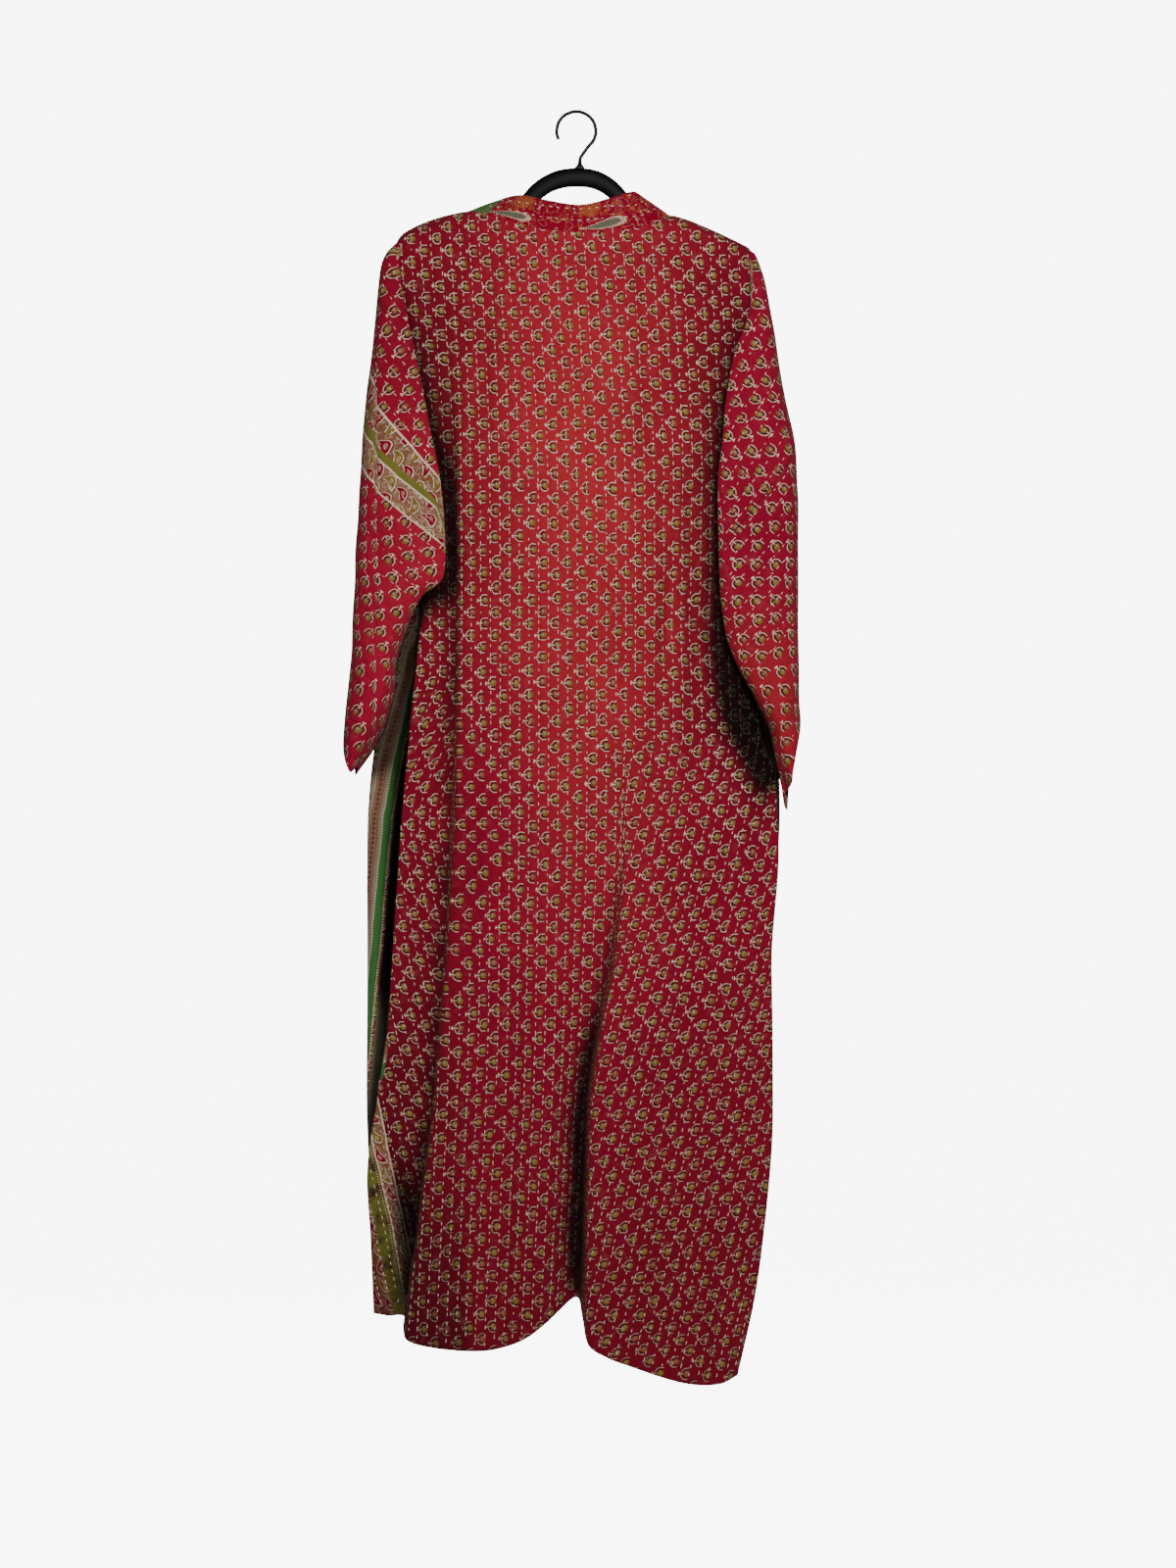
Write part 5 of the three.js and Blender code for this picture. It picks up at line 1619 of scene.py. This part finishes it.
def left_sleeve_material(colors, sizes):
    top, joint, foot = (float(row_depth("left", drop)) for drop in SLEEVE_BORDER_DROPS)
    middle = SLEEVE_BORDER_DROPS[1]
    slope = math.tan(math.radians(np.interp(middle, *SLEEVE_ROW_DEGREES["left"])))
    fold_along = float(row_depth("left", middle, np.sin)) - joint * slope

    def color_of(tree, cut, place):
        depth, along, _ = millimetres_of(tree, cut)
        depth = depth + (tree.noise(cut, 30) - 0.5) * 3
        color = sleeve_buds(tree, cut, place, colors, LEFT_SLEEVE_SHADE_AND_FADE_PATCHES, depth, joint)
        from_fold = along + fold_along + depth * slope
        narrow = tree.between(from_fold, *SLEEVE_BORDER_TURN) * SLEEVE_BORDER_NARROW + 1
        band = foot - (foot - depth) * narrow
        edges = (tree.between(band, line - 0.8, line + 0.8, 0.25) for line in (top, joint, foot))
        stripe = joint - SLEEVE_STRIPE
        return tree.paint(
            color,
            (print_paisley(tree, cut, colors, colors.tan), tree.between(band, top, stripe, 0.3), 1),
            (colors.olive_stripe, tree.between(band, stripe, joint, 0.3), 1),
            (print_paisley(tree, cut, colors, colors.tan_light), tree.between(band, joint, foot, 0.3), 1),
            (colors.pale, tree.most(*edges), 0.85),
        )

    return fabric("Left sleeve print", color_of, colors, sizes)


def right_sleeve_material(colors, sizes):
    joint = float(row_depth("right", RIGHT_SLEEVE_JOINT_DROP))

    def color_of(tree, cut, place):
        depth = millimetres_of(tree, cut)[0]
        color = sleeve_buds(tree, cut, place, colors, RIGHT_SLEEVE_SHADE_AND_FADE_PATCHES, depth, joint)
        return tree.paint(color, (colors.shadow, tree.between(depth, joint - 0.6, joint + 0.6, 0.4), 0.7))

    return fabric("Right sleeve print", color_of, colors, sizes)


def reverse_material(colors, sizes):
    """The inner side: stripes of several borders, mostly greyed olive, tan and orange."""

    def color_of(tree, cut, _):
        x, y, _ = millimetres_of(tree, cut)
        from_edge = abs(x) + (STRIPES_MIDDLE - y) * STRIPES_LEAN + (tree.noise(cut, 25) - 0.5) * 4
        step = from_edge / STRIPES_WIDTH
        part = (step - tree.math("FLOOR", step)) * STRIPES_WIDTH
        grounds = (colors.tan, colors.grey_tan)
        leaves, grey_leaves = (print_paisley(tree, cut, colors, ground) for ground in grounds)
        figures = (dotted_line(tree, y, part, *row) for row in FIGURE_ROWS)
        dots = (dotted_line(tree, y, part, *row) for row in DOT_ROWS)
        return tree.paint(
            colors.grey_tan,
            (leaves, tree.between(part, *LEAF_STRIPE, 0.4), 1),
            (grey_leaves, tree.above(part, PAINTED_SHADE_STRIPE[1], 0.4), 1),
            (colors.salmon, tree.between(part, *SALMON_STRIPE, 0.8), 0.6),
            (colors.green, tree.between(part, *GREEN_STRIPE, 0.4), 1),
            # A stripe of painted shade for the gap between the back's left edge and the inner side of the
            # left front, ending about a metre below the hook where the lower left fold closes the gap
            (colors.shadow, tree.between(part, *PAINTED_SHADE_STRIPE, 0.6) * tree.above(y, -1000, 25), 1),
            (colors.shadow, tree.most(*figures), 0.6),
            (colors.pale, tree.most(*dots), 0.8),
        )

    return fabric(
        "Reverse border prints", color_of, colors, sizes, layer="Hollow inside", darkness=HOLLOW_DARK_INSIDE
    )


def band_material(colors, sizes):
    def color_of(tree, cut, _):
        return print_scrolls(tree, cut, colors)

    return fabric("Scroll print", color_of, colors, sizes, relief=BAND_RELIEF)


def patch_material(colors, sizes):
    """Green checked cloth with a fine sprig, joined to the scroll print."""

    def color_of(tree, cut, _):
        x, y, _ = millimetres_of(tree, cut)
        checks = (tree.between(tree.math("FRACT", place * CHECKS_PER_MM), 0.4, 0.6, 0.1) for place in (x, y))
        return tree.paint(
            colors.green,
            (colors.grey_green, tree.most(*checks), 0.4),
            (colors.salmon, tree.scribble((x, y, 4), 0.16, 2, 0.5, 0.02, 0.02), 0.6),
            (print_scrolls(tree, cut, colors), tree.above(x + y * GREEN_LEAN, GREEN_WIDTH, 0.2), 1),
        )

    return fabric("Green cloth", color_of, colors, sizes, relief=BAND_RELIEF)


def thread_material(colors):
    material, tree, surface, place = new_material("Stitching thread", {"Roughness": 0.8, "Sheen Weight": 0.2})
    broad, twist = tree.noise(place, 60, 3, 0.6), tree.noise(place, 900, 2, 0.6)
    color = tree.dimmed(tree.blend(colors.pale, colors.thread, broad), broad * 0.6 + 0.55 + twist * 0.3)
    shaded = tree.group(
        GROUPS["hollow"], color=color, hollow=attribute(tree, "Hollow"), darkness=HOLLOW_DARK
    )
    tree.feed(surface["Base Color"], shaded["Color"])
    return material


def black_material(name, color, roughness, grain, metallic=0.0):
    """Black plastic or paint, lightly rubbed."""
    finish = {"Metallic": metallic, "Specular IOR Level": 0.12}
    material, tree, surface, place = new_material(name, finish)
    rubbed = tree.noise(place, 35, 4, 0.6)
    lighter = tuple(value * 2 + 0.002 for value in color)
    tree.feed(surface["Base Color"], tree.blend(color, lighter, tree.above(rubbed, 0.62)))
    tree.feed(surface["Roughness"], rubbed * 0.16 + (roughness - 0.08))
    add_bump(tree, surface, tree.noise(place, grain), 0.3, 0.0003)
    return material


def floor_material(settings):
    """Pale floor that the camera sees as bright as the surroundings."""
    material, tree, surface, place = new_material("Pale floor", {"Roughness": 0.9})
    color = tuple(settings.floor_color)
    shown = tree.blend(color, tuple(value * 0.98 for value in color), tree.noise(place, 1.5, 3))
    for label in ("Base Color", "Emission Color"):
        tree.feed(surface[label], shown)
    seen = Wire(tree, tree.node("ShaderNodeLightPath").outputs["Is Camera Ray"])
    tree.feed(surface["Emission Strength"], seen * settings.backdrop_brightness)
    return material


def pale_world(settings):
    """Even surroundings, brighter to the camera than as light on the robe."""
    world = bpy.data.worlds.new("Pale surroundings")
    world.use_nodes = True
    tree = Tree(world.node_tree)
    background = world.node_tree.nodes["Background"].inputs
    tree.feed(background["Color"], settings.floor_color)
    seen = Wire(tree, tree.node("ShaderNodeLightPath").outputs["Is Camera Ray"])
    strength = tree.choose(settings.surround_light, settings.backdrop_brightness, seen)
    tree.feed(background["Strength"], strength)
    return world


# Settings that a user would change


def color_property(name, description, default):
    return bpy.props.FloatVectorProperty(
        name=name, description=description, subtype="COLOR", size=3, min=0, max=1, default=default
    )


def length_property(name, description, default):
    return bpy.props.FloatProperty(
        name=name, description=description, unit="LENGTH", subtype="DISTANCE", default=default
    )


def light_property(name, description, default):
    return bpy.props.FloatProperty(name=name, description=description, default=default, min=0)


class RobeColors(bpy.types.PropertyGroup):
    ground: color_property("Ground", "Red ground of the bud print", (0.37, 0.006, 0.034))
    # Orange-red ground: partly sun-faded, partly painted light on the middle of the back
    faded: color_property("Faded and lit ground", "Ground where the sun has faded it, lighter still where painted light falls on the middle of the back", (0.49, 0.027, 0.034))
    # Painted shade at the sides of the robe and towards the hem
    deep: color_property("Ground in painted shade", "Painted shade at the sides and towards the hem", (0.16, 0.003, 0.013))
    # Darkest painted shade, in the lower left fold and beside the right sleeve
    painted_fold_shade: color_property("Darkest painted shade", "Painted shade deep in the lower left fold and beside the right sleeve", (0.035, 0.002, 0.004))
    pale: color_property("Pale print", "Off-white parts of the prints", (0.94, 0.74, 0.54))
    # Pale print, darker towards the bottom of the robe
    pale_lower: color_property("Pale print lower down", "The pale print, darker towards the bottom of the robe", (0.30, 0.12, 0.09))
    olive: color_property("Olive", "Olive flowers, leaves and stripes", (0.25, 0.155, 0.03))
    olive_stripe: color_property("Olive stripe", "Stripe in the sleeve border", (0.18, 0.165, 0.028))
    salmon: color_property("Salmon", "Salmon flowers and stripes", (0.28, 0.085, 0.035))
    # Also used as painted shade in a stripe of the inner side
    shadow: color_property("Print shadow", "Dark maroon lines of the prints", (0.055, 0.008, 0.012))
    tan: color_property("Tan", "Ground of the printed borders", (0.23, 0.10, 0.048))
    tan_light: color_property("Light tan", "Ground of the narrow printed border", (0.31, 0.15, 0.085))
    grey_tan: color_property("Grey tan", "Ground of the inner side", (0.30, 0.24, 0.16))
    crimson: color_property("Crimson", "Ground of the neckband", (0.28, 0.003, 0.020))
    ochre: color_property("Ochre", "Flowers and scrolls of the neckband", (0.50, 0.15, 0.025))
    grey_green: color_property("Grey green", "Leaves of the neckband", (0.17, 0.17, 0.11))
    green: color_property("Green", "The pieced patch and the inner stripes", (0.055, 0.19, 0.045))
    thread: color_property("Thread", "Running stitches", (0.90, 0.76, 0.60))
    dust: color_property("Dust", "What wear has left on the cloth", (0.45, 0.25, 0.20))
    plastic: color_property("Hanger plastic", "Body of the hanger", (0.002, 0.002, 0.002))
    metal: color_property("Hook", "Painted wire of the hook", (0.012, 0.012, 0.014))


class RobeSizes(bpy.types.PropertyGroup):
    cloth_thickness: length_property("Cloth thickness", "Thickness of the quilted cloth", 0.0015)
    row_spacing: length_property("Row spacing", "Distance between rows of running stitches", 0.0108)
    stitch_pitch: length_property("Stitch pitch", "Distance from one stitch to the next", 0.0088)
    stitch_length: length_property("Stitch length", "Length of a stitch on the cloth", 0.0046)
    stitch_width: length_property("Stitch width", "Width of the thread", 0.0012)
    stitch_height: length_property("Stitch height", "Height of a stitch over the cloth", 0.0009)


class RobeStage(bpy.types.PropertyGroup):
    floor_drop: length_property("Floor", "How far the floor lies below the hook", 1.70)
    floor_color: color_property("Floor colour", "Pale floor and surroundings", (0.88, 0.88, 0.88))
    backdrop_brightness: light_property("Backdrop", "How bright the camera sees the surroundings", 9.0)
    surround_light: light_property("Surrounding light", "How much light the surroundings give", 0.12)
    key_power: light_property("Key light", "Power of the key light", 33)
    fill_power: light_property("Fill light", "Power of the fill light", 4)
    front_power: light_property("Front light", "Power of the light on the robe's front", 24)
    camera_distance: length_property("Camera distance", "From the camera to the robe", 4.2)


# Operators

# The neckband: distance between its rows of stitches in mm, and its thickness as a share of the cloth's
STITCHES_ACROSS_BAND = 13
STITCHES_DOWN_BAND = 11
BAND_THICKNESS = 0.9

# The hanger: stations for each listed one, stations of the hook, and faces round each
ARCH_STEPS = 4
BODY_SIDES = 20
HOOK_STEPS = 60
HOOK_SIDES = 16

# Lights: which setting gives the power, where it stands in metres, and its width
LIGHTS = {
    "KeyLight": ("key_power", (0.35, -2.0, 0.2), 0.7),
    "FillLight": ("fill_power", (-1.6, -2.4, -0.3), 1.6),
    "FrontLight": ("front_power", (-0.5, 2.3, 0.1), 1.2),
}
LIGHTS_AIM = (0, 0, -0.75)
FLOOR_HALF = 8

# What the camera sees: half the frame's height at the robe, and its middle across and up
VIEW_HALF_HEIGHT = 0.88
VIEW_MIDDLE = (0.0132, -0.7528)

MATERIALS = {}


def shared_material(name, make, *given):
    """One material for all the pieces that share it."""
    if name not in MATERIALS:
        MATERIALS[name] = make(*given)
    return MATERIALS[name]


def prepare(context):
    """Settings, forms and shared shader groups for an operator."""
    all_forms()
    if not GROUPS:
        GROUPS.update(
            buds=bud_print_group(), paisley=paisley_group(), scroll=scroll_group(), dots=dots_group(),
            wavy=wavy_group(), fade=shade_and_fade_group(), worn=worn_group(), pucker=pucker_group(),
            hollow=hollow_group(),
        )
    colors, sizes = context.scene.robe_colors, context.scene.robe_sizes
    shared_material("thread", thread_material, colors)
    shared_material("reverse", reverse_material, colors, sizes)
    return colors, sizes


def join_frame(piece):
    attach(piece, "root")


def sew(name, node, cloth, materials, lines, seed, sizes, thickness=1.0):
    """Makes a cloth and its stitches, joins both to the frame and replaces its solid."""
    piece = cloth_object(name, cloth, sizes.cloth_thickness / MM * thickness, materials)
    stitches = stitch_object(f"{name}Stitches", lines, sizes, seed, MATERIALS["thread"])
    steps = (np.linalg.norm(np.diff(cloth.points, axis=axis), axis=-1) for axis in (1, 0))
    width, length = (float(step.sum(axis=axis).max()) for step, axis in zip(steps, (1, 0)))
    over = np.cross(
        cloth.points[1:, 1:] - cloth.points[:-1, :-1], cloth.points[1:, :-1] - cloth.points[:-1, 1:]
    )
    for part in (piece, stitches):
        join_frame(part)
    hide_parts(node)


def sew_quilted(name, node, cloth, outside, seed, sizes):
    """A panel or sleeve, with rows of stitches down it and the striped prints on its inner side."""
    lines = trace_rows(cloth.points, cloth.normals, cloth.cut[..., 0], sizes.row_spacing / MM)
    sew(name, node, cloth, (outside, MATERIALS["reverse"]), lines, seed, sizes)


class ROBE_OT_back_panel(bpy.types.Operator):
    """Make the back panel, with its border and stitches"""

    bl_idname = "robe.back_panel"
    bl_label = "Back panel"

    def execute(self, context):
        colors, sizes = prepare(context)
        outside = back_material(colors, sizes, float(FORMS["border"]))
        sew_quilted("BackPanel", "back_panel", FORMS["back"], outside, 21, sizes)
        return {"FINISHED"}


class ROBE_OT_front_panels(bpy.types.Operator):
    """Make the two front panels, with their stitches"""

    bl_idname = "robe.front_panels"
    bl_label = "Front panels"

    def execute(self, context):
        colors, sizes = prepare(context)
        outside = back_material(colors, sizes, NO_BORDER)
        for seed, side in enumerate(("left", "right"), start=31):
            name, cloth = f"FrontPanel{side.capitalize()}", FORMS[f"front_{side}"]
            sew_quilted(name, f"front_panel_{side}", cloth, outside, seed, sizes)
        return {"FINISHED"}


class ROBE_OT_sleeves(bpy.types.Operator):
    """Make the two sleeves, with their borders and stitches"""

    bl_idname = "robe.sleeves"
    bl_label = "Sleeves"

    def execute(self, context):
        colors, sizes = prepare(context)
        makers = {"left": left_sleeve_material, "right": right_sleeve_material}
        for seed, (side, make) in enumerate(makers.items()):
            name, node, outside = f"Sleeve{side.capitalize()}", f"sleeve_{side}", make(colors, sizes)
            sew_quilted(name, node, FORMS[node], outside, seed, sizes)
        return {"FINISHED"}


class ROBE_OT_neckbands(bpy.types.Operator):
    """Make the neckband: its green patch, the back of the neck and the two fronts"""

    bl_idname = "robe.neckbands"
    bl_label = "Neckbands"

    def execute(self, context):
        colors, sizes = prepare(context)
        printed = band_material(colors, sizes)
        green = patch_material(colors, sizes)
        collar = FORMS["collar"]
        joint = (PATCH_END_GUIDE - NECK_LEFT_GUIDE) * COLUMNS_PER_GUIDE * PANEL_FINE[1]
        bands = (
            ("patch", part_of(collar, 0, joint + 1), green, "green_cloth"),
            ("back", part_of(collar, joint, collar.points.shape[1]), printed, "band_cloth"),
            ("left", FORMS["band_left"], printed, "band_cloth"),
            ("right", FORMS["band_right"], printed, "band_cloth"),
        )
        for seed, (place, cloth, outside, slot) in enumerate(bands, start=51):
            crosswise = place in ("patch", "back")
            traced = exchanged(cloth) if crosswise else cloth
            spacing = STITCHES_ACROSS_BAND if crosswise else STITCHES_DOWN_BAND
            lines = trace_rows(traced.points, traced.normals, traced.cut[..., 1], spacing)
            sew(
                f"Neckband{place.capitalize()}", f"neckband_{place}", cloth, (outside, outside), lines, seed,
                sizes, BAND_THICKNESS,
            )
        return {"FINISHED"}


def hanger_arm(shoulder, columns):
    """Stations of an arm under the shoulder seam, outwards, clear of the cloth."""
    stations = []
    for part, column in zip(np.linspace(0, 1, len(columns)), columns):
        half = ARM_END_HALF if part == 1 else ARM_HALF
        clearance = CLOTH_WALL + mix(ARM_CLEARANCE, ARM_END_CLEARANCE, part)
        across, _, rise = shoulder[column]
        stations.append(Arch(across, clearance + half - rise, half))
    return stations


def bar_rings(across, rise, sizes):
    """Stations of a bar in the hanger's plane, each square to the way that it runs."""
    ways = zip(np.gradient(across), np.gradient(rise))
    return [
        ((x, 0, z), (way_x, 0, way_z), *size) for x, z, (way_x, way_z), size in zip(across, rise, ways, sizes)
    ]


def body_rings():
    shoulder = coarse_back()[0]
    left, right = (hanger_arm(shoulder, columns) for columns in (LEFT_ARM_COLUMNS, RIGHT_ARM_COLUMNS))
    stations = left[::-1] + list(HANGER_ARCH) + right
    order, places = range(len(stations)), fine_places(len(stations), ARCH_STEPS)
    across, drop, half = (through(order, column_of(stations, name), places) for name in Arch._fields)
    return bar_rings(across, -drop, [(size, HANGER_HALF_THICKNESS) for size in half])


def hook_rings():
    """Stations of the hook, from its ferrule on the arch up the shank and round to its tip."""
    foot = SEAM_GAP - ARCH_TOP_DROP
    top = FERRULE_PROFILE[-1][0]
    centre = WIRE_RADIUS - HOOK_RADIUS
    route = [(SHANK_ACROSS, foot + top), (SHANK_ACROSS + SHANK_SWAY[0], foot + top + SHANK_SWAY[1])]
    for angle in np.radians(HOOK_DEGREES):
        route.append((math.cos(angle) * HOOK_RADIUS, centre + math.sin(angle) * HOOK_RADIUS))
    route = np.array(route)
    length = np.concatenate([[0], np.cumsum(np.linalg.norm(np.diff(route, axis=0), axis=-1))])
    places = np.linspace(0, length[-1], HOOK_STEPS)[1:]
    across, rise = (through(length, route[:, axis], places) for axis in range(2))
    ferrule = [((SHANK_ACROSS, 0, foot + above), (0, 0, 1), *halves) for above, *halves in FERRULE_PROFILE]
    return ferrule + bar_rings(across, rise, [(WIRE_RADIUS, WIRE_RADIUS)] * len(across))


class ROBE_OT_hanger(bpy.types.Operator):
    """Make the hanger's arched body and its wire hook"""

    bl_idname = "robe.hanger"
    bl_label = "Hanger"

    def execute(self, context):
        colors, _ = prepare(context)
        plastic = black_material("Black plastic", colors.plastic, roughness=0.5, grain=1500)
        metal = black_material("Black paint", colors.metal, roughness=0.32, grain=900, metallic=0.2)
        bars = (
            ("HangerBody", body_rings(), BODY_SIDES, plastic, "hanger_plastic", "hanger_body"),
            ("HangerHook", hook_rings(), HOOK_SIDES, metal, "hook_metal", "hanger_hook"),
        )
        for name, rings, sides, material, slot, node in bars:
            piece = sweep_object(name, rings, sides, material)
            join_frame(piece)
            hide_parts(node)
        return {"FINISHED"}


class ROBE_OT_stage(bpy.types.Operator):
    """Set up the pale floor, the soft light and the camera"""

    bl_idname = "robe.stage"
    bl_label = "Stage"

    def execute(self, context):
        settings = context.scene.robe_stage
        mesh = bpy.data.meshes.new("Floor")
        bm = bmesh.new()
        bmesh.ops.create_grid(bm, x_segments=1, y_segments=1, size=FLOOR_HALF)
        bmesh.ops.translate(bm, verts=bm.verts, vec=(0, 0, -settings.floor_drop))
        bm.to_mesh(mesh)
        bm.free()
        mesh.materials.append(floor_material(settings))
        floor = add_to_scene("Floor", mesh)
        context.scene.world = pale_world(settings)
        for name, (power, place, width) in LIGHTS.items():
            data = bpy.data.lights.new(name, "AREA")
            data.energy, data.shape, data.size = getattr(settings, power), "DISK", width
            light = add_to_scene(name, data)
            light.location = place
            aim = Vector(LIGHTS_AIM) - Vector(place)
            light.rotation_euler = aim.to_track_quat("-Z", "Y").to_euler()
        data = bpy.data.cameras.new("Camera")
        data.sensor_fit = "VERTICAL"
        data.angle = 2 * math.atan(VIEW_HALF_HEIGHT / settings.camera_distance)
        camera = add_to_scene("Camera", data)
        camera.location = (VIEW_MIDDLE[0], -settings.camera_distance, VIEW_MIDDLE[1])
        camera.rotation_euler = (math.radians(90), 0, 0)
        context.scene.camera = camera
        return {"FINISHED"}


class ROBE_PT_panel(bpy.types.Panel):
    """Lists the robe's parts and settings"""

    bl_idname = "ROBE_PT_panel"
    bl_label = "Robe"
    bl_space_type = "VIEW_3D"
    bl_region_type = "UI"
    bl_category = "Robe"

    def draw(self, context):
        for operator in OPERATORS:
            self.layout.operator(operator.bl_idname)
        for settings in (context.scene.robe_sizes, context.scene.robe_colors, context.scene.robe_stage):
            for name in settings.__annotations__:
                self.layout.prop(settings, name)


OPERATORS = (
    ROBE_OT_hanger, ROBE_OT_back_panel, ROBE_OT_front_panels, ROBE_OT_sleeves, ROBE_OT_neckbands,
    ROBE_OT_stage,
)
CLASSES = (RobeColors, RobeSizes, RobeStage, *OPERATORS, ROBE_PT_panel)


def register():
    for item in CLASSES:
        bpy.utils.register_class(item)
    bpy.types.Scene.robe_colors = bpy.props.PointerProperty(type=RobeColors)
    bpy.types.Scene.robe_sizes = bpy.props.PointerProperty(type=RobeSizes)
    bpy.types.Scene.robe_stage = bpy.props.PointerProperty(type=RobeStage)


def unregister():
    for name in ("robe_stage", "robe_sizes", "robe_colors"):
        delattr(bpy.types.Scene, name)
    for item in reversed(CLASSES):
        bpy.utils.unregister_class(item)


def main():
    register()
    for operator in OPERATORS:
        group, name = operator.bl_idname.split(".")
        if getattr(getattr(bpy.ops, group), name)() != {"FINISHED"}:
            raise RuntimeError(f"{operator.bl_label} wasn't made")


if __name__ == "__main__":
    main()
